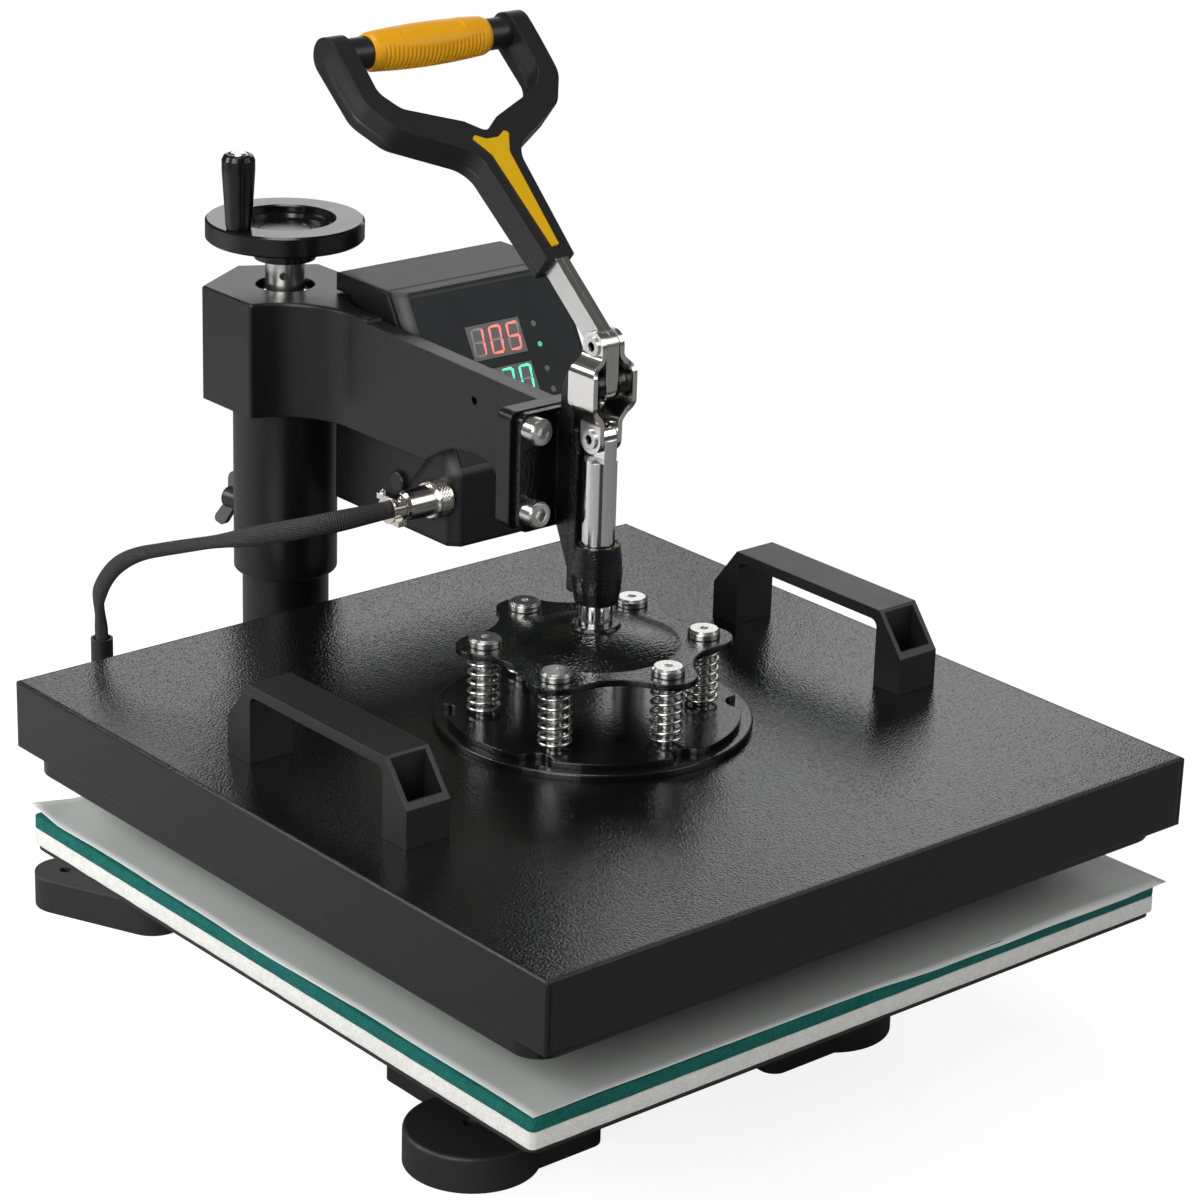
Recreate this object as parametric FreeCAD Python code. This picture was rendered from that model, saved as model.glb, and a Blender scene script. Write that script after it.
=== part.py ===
import FreeCAD, Part
import math
import os
from FreeCAD import Rotation, Vector

os.makedirs("parts", exist_ok=True)

# Combo heat press, 15 x 15 inch, swing-away kind. Millimetres, +Z up.
# Origin on the bench, in the middle of the four bench bolts. +X is to the right, +Y to the back.

# Fits and clearances
RUNNING = 0.05          # radial, a shaft in its bore
APART = 0.3             # between pieces that move past each other

# Layout
BOLT_X = 112.0          # bench bolts, half spacing across
BOLT_Y = 170.0          # bench bolts, half spacing front to back
PRESS_Y = -118.0        # vertical axis of the press shaft
COLUMN_Y = 129.0        # vertical axis of the column

# Base casting
FOOT_R = 32.0
FOOT_H = 18.0
BOLT_R = 3.0
REAR_FOOT_R = 16.0
LEG_INNER = 52.0
LEG_OUTER = 97.0
LEG_FRONT = -198.0
LEG_BACK = -84.0
LEG_H = 24.0
SPINE_W = 84.0
SPINE_H = 30.0
CAST_WALL = 7.0
CAST_RIB = 6.0
PEDESTAL_R = 46.0
TABLE_R = 72.0
TABLE_T = 8.0
SOCKET_WALL = 13.7
SOCKET_H = 62.0

# Pad stack
PAD_SIDE = 381.0
PLATE_Z = 89.0          # under side of the pad plate
PLATE_T = 2.0
FELT_T = 8.5
SILICONE_T = 6.5
PAD_CORNER = 6.0
SHEET_SIDE = 386.0
SHEET_T = 0.3
PAD_SCREW_R = 4.0
PAD_SCREW_PCD_R = 55.0

# Column and lift
TUBE_R = 22.3
TUBE_WALL = 3.8
TUBE_FOOT = 8.0
TUBE_TOP = 290.0
SLEEVE_WALL = 4.3
SLEEVE_BOTTOM = 176.0
LIFT_SCREW_R = 7.0
THRUST_R = 12.25
NUT_LENGTH = 24.0
NUT_RIM = 4.0

# Head and arm
HEAD_BOTTOM = 268.0
HEAD_TOP = 327.0
HEAD_HALF = 36.4        # flats of the six-sided head
HEAD_CORNER = 42.0      # front and back corners
HEAD_HOLE_R = 15.0
ARM_T = 10.0
NECK_DROP = 8.5         # the head's hollow sides start this much forward of the corners
NECK_SWEEP = 40.0
ARM_END_TOP = 321.0
FLANGE_Y = -87.0        # face that the bracket bolts to
FLANGE_T = 9.5
FLANGE_W = 57.0
FLANGE_BOTTOM = 264.0

# Shaft bracket
BRACKET_T = 4.8
BRACKET_W = 52.0
BRACKET_BOTTOM = 263.0
BRACKET_TOP = 320.5
BRACKET_BOLT_X = 19.5
BRACKET_BOLT_Z = (273.0, 313.0)
BOLT_SHANK_R = 4.0
BOLT_HEAD_R = 6.5
BOLT_HEAD_H = 8.0
BARREL_BOTTOM = 232.5
BARREL_TOP = 261.0
BARREL_R = 12.0
RIB_HALF = 7.0
RIB_T = 5.0
WEB_T = 8.0
EAR_T = 4.0
EAR_R = 7.5
BUSH_WALL = 1.15

# Toggle
FULCRUM_Z = 337.4
CRANK_ARM = 19.4        # fulcrum to elbow
LINK_LENGTH = 44.2      # elbow to shaft pin
LEVER_T = 3.65          # one of the two plates
LEVER_LEAN = 50.0       # handle leans back from the vertical, degrees
LEVER_LEG_W = 13.0
LEVER_W = 11.0
TANG_W = 7.0            # inside the handle's stem
LEVER_LENGTH = 82.0
LINK_T = 2.5
LINK_INNER = 4.0
LINK_BOW = 10.5
LINK_BOW_W = 18.0
LINK_EYE_R = 7.0
PIN_R = 3.0
RIVET_HEAD_R = 4.6
RIVET_HEAD_H = 1.0
FULCRUM_R = 4.0
FULCRUM_HEAD_R = 5.0
FULCRUM_HEAD_H = 2.0
LEVER_TRAVEL = 113.0    # degrees from open to pressed

# Handle, in its own leaning plane: s runs up the handle from the foot of its stem
STEM_START = 45.5       # elbow to the foot of the stem
STEM_FRONT = 5.5
STEM_BACK = 7.5
STEM_FOOT_HALF = 8.0
ARM_OUTER = 57.5
ARM_INNER = 47.5
GRIP_S = 130.5
GRIP_BAR_R = 7.6
GRIP_HALF = 34.5
GRIP_END_R = 9.1
GRIP_MID_R = 10.6
FRAME_END_R = 9.6

# Press shaft and pressure plate
SHAFT_R = 8.0
SHAFT_BOTTOM = 206.0
TONGUE_Z = 302.0
STAR_Z = 209.5
STAR_T = 3.0
SCREW_PCD_R = 52.0
SCREW_COUNT = 6
LOBE_R = 13.6
VALLEY_R = 50.0
DOME_R = 40.5
DOME_RISE = 8.0
BOSS_R = 12.0
BOSS_TOP = 222.0
SPRING_MEAN_R = 7.2
SPRING_WIRE_R = 0.8
SPRING_TURNS = 7
SPRING_END_PITCH = 2.2
SCREW_R = 4.0
SCREW_HEAD_R = 7.75
SCREW_HEAD_H = 3.9

# Platen
COVER_SIDE_ROOM = 2.0   # cover beyond the heat plate, left and right
COVER_END_ROOM = 9.5    # cover beyond the heat plate, front and back
COVER_TOP = 173.0
COVER_WALL = 34.0
COVER_T = 1.5
HEAT_SIDE = 380.0
HEAT_Z = 130.0
HEAT_T = 14.0
HEAT_CORNER = 14.0
INSULATION_T = 12.0
ELEMENT_W = 8.0
ELEMENT_ROWS = 6
ELEMENT_MARGIN = 60.0   # edge of the heat plate to the first row
ELEMENT_END = 50.0      # edge of the heat plate to the end of a row
STAND_OFF_R = 6.0
STAND_OFF_IN = 90.0     # from the edges of the heat plate
DISC_R = 75.5
DISC_T = 3.5
BAYONET_R = 70.0
BAYONET_T = 3.0
NOTCH_R = 8.0

# Carrying handles
CARRY_IN = 43.0         # from the side of the cover to the middle of the handle
CARRY_W = 24.0
CARRY_LENGTH = 134.0
CARRY_H = 39.0
CARRY_FOOT = 17.5
CARRY_GRIP_T = 5.5
CARRY_SHOULDER = 18.5   # height of the slanted end above the cover
CARRY_SLANT = 16.0
CARRY_WALL = 2.5

# Handwheel
WHEEL_R = 40.0
WHEEL_UP = 14.0         # hub's foot above the head
WHEEL_H = 20.5          # hub's foot to the rim's top
WHEEL_RIM_H = 10.5
WHEEL_HUB_R = 15.5
WHEEL_RECESS_R = 25.0
COLLAR_R = 10.0
CRANK_AT = (-31.6, -5.0)
CRANK_H = 38.0
CRANK_FOOT_R = 6.2
CRANK_TOP_R = 8.3

# Control box
BOX_LEFT = 13.0
BOX_W = 105.0
BOX_BACK = 103.0
BOX_FRONT = 6.0
BOX_RISE = 10.0         # flat top above the head
BOX_H = 118.5
BOX_TOP_FRONT = 52.0    # front edge of the flat top
BOX_FRONT_H = 37.5      # upright front
BOX_WALL = 2.0
BOX_BEVEL = 5.0
BOX_INNER_BEVEL = 3.0
BOX_LIP = 9.0           # flat top and slope that belong to the front cover
SEAM_GAP = 0.25
RELIEF = 13.5           # corner left free for the head
SOCKET_Y = 15.5
SOCKET_UP = 24.5        # above the bottom of the box, as are the next three
SPARE_HOLE_Y = 49.5
SPARE_HOLE_UP = 23.0
INLET_X = 86.0
ROCKER_X = 54.0
INLET_UP = 27.5
WINDOW_X = (45.5, 80.0)
WINDOW_UP = ((27.0, 42.0), (46.0, 62.0))    # above the sill of the slope, as are the next two
LAMP_X = 88.0
LAMP_UP = (27.5, 37.0, 48.0, 57.5)
LAMP_R = 1.8
OVERLAY_T = 0.4
KEY_UP = 12.0
KEY_X = (34.0, 56.0, 78.0)
KEY_R = 4.5

# Heater cable and its elbow gland on the back of the cover
CABLE_R = 4.0
GLAND_X = -124.5
GLAND_DROP = 17.0       # below the cover's top
ELBOW_R = 5.5
ELBOW_REACH = 29.5      # out from the cover
ELBOW_RISE = 14.0
CABLE_IN = 3.7          # the cable's end goes this far into the elbow
FLOAT = 4.3             # room under the cable's end for the platen's float

PRESS = Vector(0, PRESS_Y, 0)
COLUMN = Vector(0, COLUMN_Y, 0)
UP = Vector(0, 0, 1)
RIGHT = Vector(1, 0, 0)
BACK = Vector(0, 1, 0)

FELT_Z = PLATE_Z + PLATE_T
SILICONE_Z = FELT_Z + FELT_T
PAD_TOP = SILICONE_Z + SILICONE_T
ELBOW_Z = FULCRUM_Z + CRANK_ARM
SHAFT_PIN_Z = ELBOW_Z - LINK_LENGTH
FULCRUM = Vector(0, PRESS_Y, FULCRUM_Z)
ELBOW = Vector(0, PRESS_Y, ELBOW_Z)
SHAFT_PIN = Vector(0, PRESS_Y, SHAFT_PIN_Z)
LEAN = math.radians(LEVER_LEAN)
ALONG = Vector(0, math.sin(LEAN), math.cos(LEAN))       # up the handle
OUT = Vector(0, -math.cos(LEAN), math.sin(LEAN))        # out of the handle's front face
STEM_FOOT = ELBOW + ALONG * STEM_START
HEAT_TOP = HEAT_Z + HEAT_T
COVER_X = HEAT_SIDE + 2 * COVER_SIDE_ROOM
COVER_Y = HEAT_SIDE + 2 * COVER_END_ROOM
CARRY_X = COVER_X / 2 - CARRY_IN
COVER_INNER_TOP = COVER_TOP - COVER_T
SOCKET_R = TUBE_R + SOCKET_WALL
SLEEVE_R = TUBE_R + RUNNING + SLEEVE_WALL
SLEEVE_TOP = TUBE_TOP + NUT_RIM + 6.0 + APART
THRUST_RIM_Z = TUBE_TOP + NUT_RIM + 2.0
WHEEL_HUB_BOTTOM = HEAD_TOP + WHEEL_UP
WHEEL_TOP = WHEEL_HUB_BOTTOM + WHEEL_H
DISC_TOP = COVER_TOP + DISC_T
BAYONET_TOP = DISC_TOP + BAYONET_T
STAR_TOP = STAR_Z + STAR_T
SCREW_ANGLES = [30 + 360 / SCREW_COUNT * i for i in range(SCREW_COUNT)]
BOX_TOP = HEAD_TOP + BOX_RISE
BOX_BOTTOM = BOX_TOP - BOX_H
BOX_SILL = BOX_BOTTOM + BOX_FRONT_H
PANEL_RUN = (BOX_TOP_FRONT - BOX_FRONT) / (BOX_TOP - BOX_SILL)
PANEL_OUT = Vector(0, -1, PANEL_RUN).normalize()
SOCKET_AT = Vector(BOX_LEFT, SOCKET_Y, BOX_BOTTOM + SOCKET_UP)
SPARE_HOLE_AT = Vector(BOX_LEFT, SPARE_HOLE_Y, BOX_BOTTOM + SPARE_HOLE_UP)
INLET_AT = Vector(INLET_X, BOX_BACK, BOX_BOTTOM + INLET_UP)
ROCKER_AT = Vector(ROCKER_X, BOX_BACK, BOX_BOTTOM + INLET_UP)
WINDOW_ROWS = [(BOX_SILL + low, BOX_SILL + high) for low, high in WINDOW_UP]
LAMP_Z = [BOX_SILL + up for up in LAMP_UP]
KEY_Z = BOX_SILL + KEY_UP


def block(x0, x1, y0, y1, z0, z1):
    return Part.makeBox(x1 - x0, y1 - y0, z1 - z0, Vector(x0, y0, z0))


def rod(radius, length, at, axis=UP):
    return Part.makeCylinder(radius, length, at, axis)


def outline(corners):
    """Closed wire through (point, radius) corners, each rounded with a tangent arc."""
    starts, arcs = [], []
    count = len(corners)
    for i, (point, radius) in enumerate(corners):
        before = (corners[i - 1][0] - point).normalize()
        after = (corners[(i + 1) % count][0] - point).normalize()
        if radius <= 0:
            starts.append((point, point))
            arcs.append(None)
            continue
        half = before.getAngle(after) / 2
        reach = radius / math.tan(half)
        first, last = point + before * reach, point + after * reach
        middle = (before + after).normalize()
        arcs.append(Part.Arc(first, point + middle * (radius / math.sin(half) - radius), last))
        starts.append((first, last))
    edges = []
    for i in range(count):
        if arcs[i]:
            edges.append(arcs[i].toShape())
        leave, arrive = starts[i][1], starts[(i + 1) % count][0]
        if leave.distanceToPoint(arrive) > 1e-6:
            edges.append(Part.LineSegment(leave, arrive).toShape())
    return Part.Wire(edges)


def prism(corners, along):
    return Part.Face(outline(corners)).extrude(along)


def side_prism(points, x0, x1):
    """Solid from a side outline of (y, z, corner radius) points, between two X planes."""
    return prism([(Vector(x0, y, z), r) for y, z, r in points], RIGHT * (x1 - x0))


def plan_prism(points, z0, z1):
    """Solid from a plan outline of (x, y, corner radius) points, between two heights."""
    return prism([(Vector(x, y, z0), r) for x, y, r in points], UP * (z1 - z0))


def turned(points, at, axis=UP):
    """Solid of revolution from (radius, height) points about the axis through a point."""
    ring = [Vector(r, 0, h) for r, h in points]
    face = Part.Face(Part.makePolygon(ring + ring[:1]))
    solid = face.revolve(Vector(), UP, 360)
    solid.Placement = FreeCAD.Placement(at, Rotation(UP, axis))
    return solid


def mirrored(shape):
    return shape.mirror(Vector(), RIGHT)


def both_sides(shape):
    return [shape, mirrored(shape)]


def group(solids):
    return Part.makeCompound(solids)


def around(angle, radius, z):
    a = math.radians(angle)
    return Vector(radius * math.cos(a), PRESS_Y + radius * math.sin(a), z)


def handle_point(x, s, out=0.0):
    return Vector(x, 0, 0) + STEM_FOOT + ALONG * s + OUT * out


# Base


def base_casting():
    """Cast frame: two front legs, a spine, two splayed rear feet, a table and the column socket.

    It is hollow from below, with a rib along the spine and crossed ribs in the pedestal.
    """
    front_legs = plan_prism([(-LEG_OUTER, LEG_BACK, 6), (-LEG_OUTER, LEG_FRONT, 4), (-LEG_INNER, LEG_FRONT, 8),
                             (-LEG_INNER, LEG_BACK - 44, 10), (LEG_INNER, LEG_BACK - 44, 10),
                             (LEG_INNER, LEG_FRONT, 8), (LEG_OUTER, LEG_FRONT, 4), (LEG_OUTER, LEG_BACK, 6)],
                            0, LEG_H)
    body = front_legs.makeChamfer(1.5, [e for e in front_legs.Edges if min(v.Z for v in e.Vertexes) > LEG_H - 0.01])
    spine = block(-SPINE_W / 2, SPINE_W / 2, LEG_BACK - 44, COLUMN_Y + 30, 0, SPINE_H)
    spine = spine.makeFillet(4, [e for e in spine.Edges if min(v.Z for v in e.Vertexes) > SPINE_H - 0.01])
    parts = [spine]
    for side in (-1, 1):
        foot = rod(FOOT_R, FOOT_H, Vector(side * BOLT_X, -BOLT_Y - 2, 0))
        parts.append(foot.makeFillet(2, [e for e in foot.Edges if e.BoundBox.ZMin > FOOT_H - 0.01]))
        knee = Vector(side * (BOLT_X - 22), BOLT_Y - 49, 0)
        heel = Vector(side * BOLT_X, BOLT_Y, 0)
        run = (heel - knee).normalize()
        across = Vector(-run.y, run.x, 0) * REAR_FOOT_R
        leg = prism([(knee + across - run * REAR_FOOT_R, REAR_FOOT_R - 0.1),
                     (heel + across + run * REAR_FOOT_R, REAR_FOOT_R - 0.1),
                     (heel - across + run * REAR_FOOT_R, REAR_FOOT_R - 0.1),
                     (knee - across - run * REAR_FOOT_R, REAR_FOOT_R - 0.1)], UP * FOOT_H)
        parts.append(leg)
        parts.append(block(min(0, side * (BOLT_X - 22)), max(0, side * (BOLT_X - 22)),
                           knee.y - REAR_FOOT_R + 2, knee.y + REAR_FOOT_R - 2, 0, FOOT_H + 2))
    parts.append(turned([(0, 0), (PEDESTAL_R, 0), (PEDESTAL_R, SPINE_H), (PEDESTAL_R - 8, PLATE_Z - TABLE_T - 12),
                         (TABLE_R, PLATE_Z - TABLE_T), (TABLE_R, PLATE_Z), (0, PLATE_Z)], PRESS))
    parts.append(turned([(0, 0), (SOCKET_R, 0), (SOCKET_R, SOCKET_H - 3), (SOCKET_R - 3, SOCKET_H),
                         (0, SOCKET_H)], COLUMN))
    body = body.fuse(parts).removeSplitter()
    inner = CAST_WALL
    rib = CAST_RIB / 2
    core = PEDESTAL_R - inner - 4
    cross = [block(-rib, rib, PRESS_Y - core, PRESS_Y + core, -1, PLATE_Z),
             block(-core, core, PRESS_Y - rib, PRESS_Y + rib, -1, PLATE_Z)]
    cuts = [rod(core, PLATE_Z - TABLE_T - 8, PRESS - UP).cut(cross)]
    cuts.append(rod(TUBE_R, SOCKET_H, COLUMN + UP * TUBE_FOOT))
    for side in (-1, 1):
        low, high = sorted((side * rib, side * (SPINE_W / 2 - inner)))
        cuts.append(block(low, high, PRESS_Y + PEDESTAL_R, COLUMN_Y - SOCKET_R, -1, SPINE_H - inner))
        low, high = sorted((side * (LEG_INNER + inner), side * (LEG_OUTER - inner)))
        cuts.append(block(low, high, LEG_FRONT + inner, LEG_BACK - inner, -1, LEG_H - inner))
        for y in (-BOLT_Y, BOLT_Y):
            cuts.append(rod(BOLT_R, FOOT_H + LEG_H, Vector(side * BOLT_X, y, -1)))
    for angle in (45, 135, 225, 315):
        cuts.append(rod(PAD_SCREW_R, TABLE_T + 2, around(angle, PAD_SCREW_PCD_R, PLATE_Z - TABLE_T - 1)))
    return body.cut(cuts)


def pad_sheet(side, z, thickness, corner):
    half = side / 2
    return plan_prism([(x * half, PRESS_Y + y * half, corner) for x, y in ((-1, -1), (1, -1), (1, 1), (-1, 1))],
                      z, z + thickness)


def pad_plate():
    plate = pad_sheet(PAD_SIDE - 1, PLATE_Z, PLATE_T, PAD_CORNER)
    return plate.cut([rod(PAD_SCREW_R, PLATE_T + 2, around(a, PAD_SCREW_PCD_R, PLATE_Z - 1))
                      for a in (45, 135, 225, 315)])


def pad_plate_screws():
    """Flat screws, flush with the pad plate, into the table of the base."""
    return group([rod(PAD_SCREW_R, TABLE_T + PLATE_T, around(a, PAD_SCREW_PCD_R, PLATE_Z - TABLE_T))
                  for a in (45, 135, 225, 315)])


def felt_pad():
    return pad_sheet(PAD_SIDE, FELT_Z, FELT_T, 1.5)


def silicone_pad():
    return pad_sheet(PAD_SIDE, SILICONE_Z, SILICONE_T, 1.5)


def release_sheet():
    return pad_sheet(SHEET_SIDE, PAD_TOP, SHEET_T, 0)


def column_tube():
    tube = rod(TUBE_R, TUBE_TOP - TUBE_FOOT, COLUMN + UP * TUBE_FOOT)
    return tube.cut(rod(TUBE_R - TUBE_WALL, TUBE_TOP, COLUMN + UP * (TUBE_FOOT + TUBE_WALL)))


def lift_nut():
    bore = LIFT_SCREW_R + RUNNING
    plug = TUBE_R - TUBE_WALL
    return turned([(bore, TUBE_TOP - NUT_LENGTH), (plug, TUBE_TOP - NUT_LENGTH), (plug, TUBE_TOP),
                   (TUBE_R - 0.5, TUBE_TOP), (TUBE_R - 0.5, TUBE_TOP + NUT_RIM), (bore, TUBE_TOP + NUT_RIM)],
                  COLUMN)


# Lift and handwheel


def thrust_tube():
    """Chromed tube that carries the head on its rim and the handwheel's collar on its top."""
    bore = LIFT_SCREW_R + APART
    rim = TUBE_R - 2
    return turned([(bore, THRUST_RIM_Z), (rim, THRUST_RIM_Z), (rim, SLEEVE_TOP - APART),
                   (THRUST_R, SLEEVE_TOP - APART), (THRUST_R, HEAD_TOP - 3), (bore, HEAD_TOP - 3)], COLUMN)


def lift_screw():
    bottom = TUBE_TOP - NUT_LENGTH - 44
    screw = rod(LIFT_SCREW_R, WHEEL_TOP - 9.5 - bottom, COLUMN + UP * bottom)
    return screw.makeChamfer(1, [e for e in screw.Edges if e.BoundBox.ZMax < bottom + 0.01])


def set_screw_seat(length):
    aim = Vector(-0.65, -0.76, 0).normalize()
    middle = (HEAD_TOP - 3 + APART + WHEEL_HUB_BOTTOM) / 2 + 1
    return rod(2.0, length, COLUMN + UP * middle + aim * (COLLAR_R - length + 0.4), aim)


def shaft_collar():
    bottom = HEAD_TOP - 3 + APART
    collar = rod(COLLAR_R, WHEEL_HUB_BOTTOM - bottom, COLUMN + UP * bottom)
    collar = collar.makeChamfer(0.6, [e for e in collar.Edges if len(e.Vertexes) == 1])
    return collar.cut([rod(LIFT_SCREW_R, WHEEL_TOP - bottom, COLUMN + UP * bottom), set_screw_seat(3)])


def collar_set_screw():
    return set_screw_seat(3).cut(rod(1.0, 2, COLUMN + UP * ((HEAD_TOP - 3 + APART + WHEEL_HUB_BOTTOM) / 2 + 1)
                                     + Vector(-0.65, -0.76, 0).normalize() * (COLLAR_R - 0.9),
                                     Vector(-0.65, -0.76, 0)))


def handwheel():
    """Moulded wheel with a dished face, closed over the screw that threads in from below."""
    rim_bottom = WHEEL_TOP - WHEEL_RIM_H
    floor = WHEEL_TOP - 6
    wheel = turned([(LIFT_SCREW_R, WHEEL_HUB_BOTTOM), (WHEEL_HUB_R, WHEEL_HUB_BOTTOM),
                    (WHEEL_HUB_R, rim_bottom), (WHEEL_R - 1, rim_bottom), (WHEEL_R, rim_bottom + 1),
                    (WHEEL_R, WHEEL_TOP - 1), (WHEEL_R - 1, WHEEL_TOP), (WHEEL_RECESS_R + 0.8, WHEEL_TOP),
                    (WHEEL_RECESS_R, WHEEL_TOP - 0.8), (WHEEL_RECESS_R, floor + 2.5),
                    (WHEEL_RECESS_R - 2, floor + 2), (WHEEL_RECESS_R - 2.5, floor), (13.7, floor),
                    (13.3, floor - 0.6), (12.9, floor), (0, floor), (0, floor - 3), (LIFT_SCREW_R, floor - 3)],
                   COLUMN)
    seat = COLUMN + Vector(CRANK_AT[0], CRANK_AT[1], rim_bottom + 1.5)
    return wheel.cut(rod(PIN_R, WHEEL_RIM_H, seat))


def crank_screw():
    foot = COLUMN + Vector(CRANK_AT[0], CRANK_AT[1], 0)
    seat = WHEEL_TOP - WHEEL_RIM_H + 1.5
    top = WHEEL_TOP + CRANK_H + 0.6
    return turned([(0, seat), (PIN_R, seat), (PIN_R, top - 3.2), (CRANK_FOOT_R - 1.5, top - 3.2),
                   (CRANK_FOOT_R - 1.5, top - 0.8), (CRANK_FOOT_R - 2.5, top), (0, top)], foot)


def crank_knob():
    foot = COLUMN + Vector(CRANK_AT[0], CRANK_AT[1], 0)
    bottom = WHEEL_TOP + APART
    top = WHEEL_TOP + CRANK_H
    bore = PIN_R + RUNNING
    seat = top - 3
    return turned([(bore, bottom), (CRANK_FOOT_R, bottom), (CRANK_FOOT_R + 0.4, bottom + 2),
                   (CRANK_TOP_R, top - 8), (CRANK_TOP_R, top - 3), (CRANK_TOP_R - 1, top - 0.8),
                   (CRANK_TOP_R - 2.4, top), (CRANK_FOOT_R - 1, top), (CRANK_FOOT_R - 1, seat),
                   (bore, seat)], foot)


# Head, arm and bracket


def arm_casting():
    """Six-sided head, thin deep arm with an arched under side, and the bolting flange."""
    half = ARM_T / 2
    back = COLUMN_Y + HEAD_CORNER
    shoulder = COLUMN_Y + HEAD_CORNER / 2
    front = COLUMN_Y - HEAD_CORNER / 2
    neck = front - NECK_DROP
    tail = neck - NECK_SWEEP - 5
    plan = [(-HEAD_HALF, front, 2), (-HEAD_HALF, shoulder, 2), (0, back, 2), (HEAD_HALF, shoulder, 2),
            (HEAD_HALF, front, 2), (half, neck, NECK_SWEEP), (half, tail, 0), (-half, tail, 0),
            (-half, neck, NECK_SWEEP)]
    head = plan_prism(plan, HEAD_BOTTOM, HEAD_TOP)
    head = head.makeChamfer(1, [e for e in head.Edges if min(v.Z for v in e.Vertexes) > HEAD_TOP - 0.01])
    flange_back = FLANGE_Y + FLANGE_T
    web = side_prism([(neck, HEAD_TOP - 0.6, 0), (neck, HEAD_BOTTOM, 0), (8, HEAD_BOTTOM, 6),
                      (-14, HEAD_BOTTOM + 12, 18), (-40, HEAD_BOTTOM + 14.5, 22), (-58, FLANGE_BOTTOM + 5, 14),
                      (flange_back - 1, FLANGE_BOTTOM + 2.5, 0), (flange_back - 1, ARM_END_TOP, 0)],
                     -half, half)
    flange = prism([(Vector(x * FLANGE_W / 2, FLANGE_Y, z), 4)
                    for x, z in ((-1, FLANGE_BOTTOM), (1, FLANGE_BOTTOM), (1, ARM_END_TOP), (-1, ARM_END_TOP))],
                   BACK * FLANGE_T)
    body = head.fuse([web, flange]).removeSplitter()
    cuts = [rod(SLEEVE_R, SLEEVE_TOP - HEAD_BOTTOM + 1, COLUMN + UP * (HEAD_BOTTOM - 1)),
            rod(HEAD_HOLE_R, HEAD_TOP, COLUMN + UP * HEAD_BOTTOM),
            rod(2, FLANGE_W, Vector(-FLANGE_W / 2, -31, ARM_END_TOP - 13), RIGHT)]
    for x in (-BRACKET_BOLT_X, BRACKET_BOLT_X):
        for z in BRACKET_BOLT_Z:
            cuts.append(rod(BOLT_SHANK_R, 2 * FLANGE_T, Vector(x, FLANGE_Y - 1, z), BACK))
    return body.cut(cuts)


def column_sleeve():
    """Steel tube, pressed into the head, that turns and slides on the column."""
    sleeve = rod(SLEEVE_R, SLEEVE_TOP - SLEEVE_BOTTOM, COLUMN + UP * SLEEVE_BOTTOM)
    sleeve = sleeve.makeFillet(1.5, [e for e in sleeve.Edges if e.BoundBox.ZMax < SLEEVE_BOTTOM + 0.01])
    bore = rod(TUBE_R + RUNNING, SLEEVE_TOP, COLUMN + UP * (SLEEVE_BOTTOM - 1))
    return sleeve.cut([bore, lock_stud(SLEEVE_R)])


def lock_axis():
    a = math.radians(98)
    return Vector(math.cos(a), math.sin(a), 0)


def lock_stud(reach):
    """Threaded hole of the wing screw in the sleeve."""
    return rod(3 + RUNNING, reach, COLUMN + UP * 203 + lock_axis() * (TUBE_R - 2), lock_axis())


def lock_knob():
    """Wing screw that clamps the sleeve to the column."""
    axis = lock_axis()
    tip = COLUMN + UP * 203 + axis * (TUBE_R + APART)
    hub = COLUMN + UP * 203 + axis * (SLEEVE_R + 7)
    stud = rod(3, SLEEVE_R + 8 - TUBE_R - APART, tip, axis)
    body = rod(5.5, 9, hub, axis)
    side = axis.cross(UP)
    wings = []
    for sign in (-1, 1):
        out = (UP * 0.9 + side * 0.44 * 1).normalize() * sign
        wings.append(prism([(hub + out * 2 + axis * 1 - side * 1.6, 0), (hub + out * 15 + axis * 5 - side * 1.6, 2.5),
                            (hub + out * 13 + axis * 14 - side * 1.6, 3), (hub + out * 2 + axis * 9 - side * 1.6, 0)],
                           side * 3.2))
    return stud.fuse([body] + wings)


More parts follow.
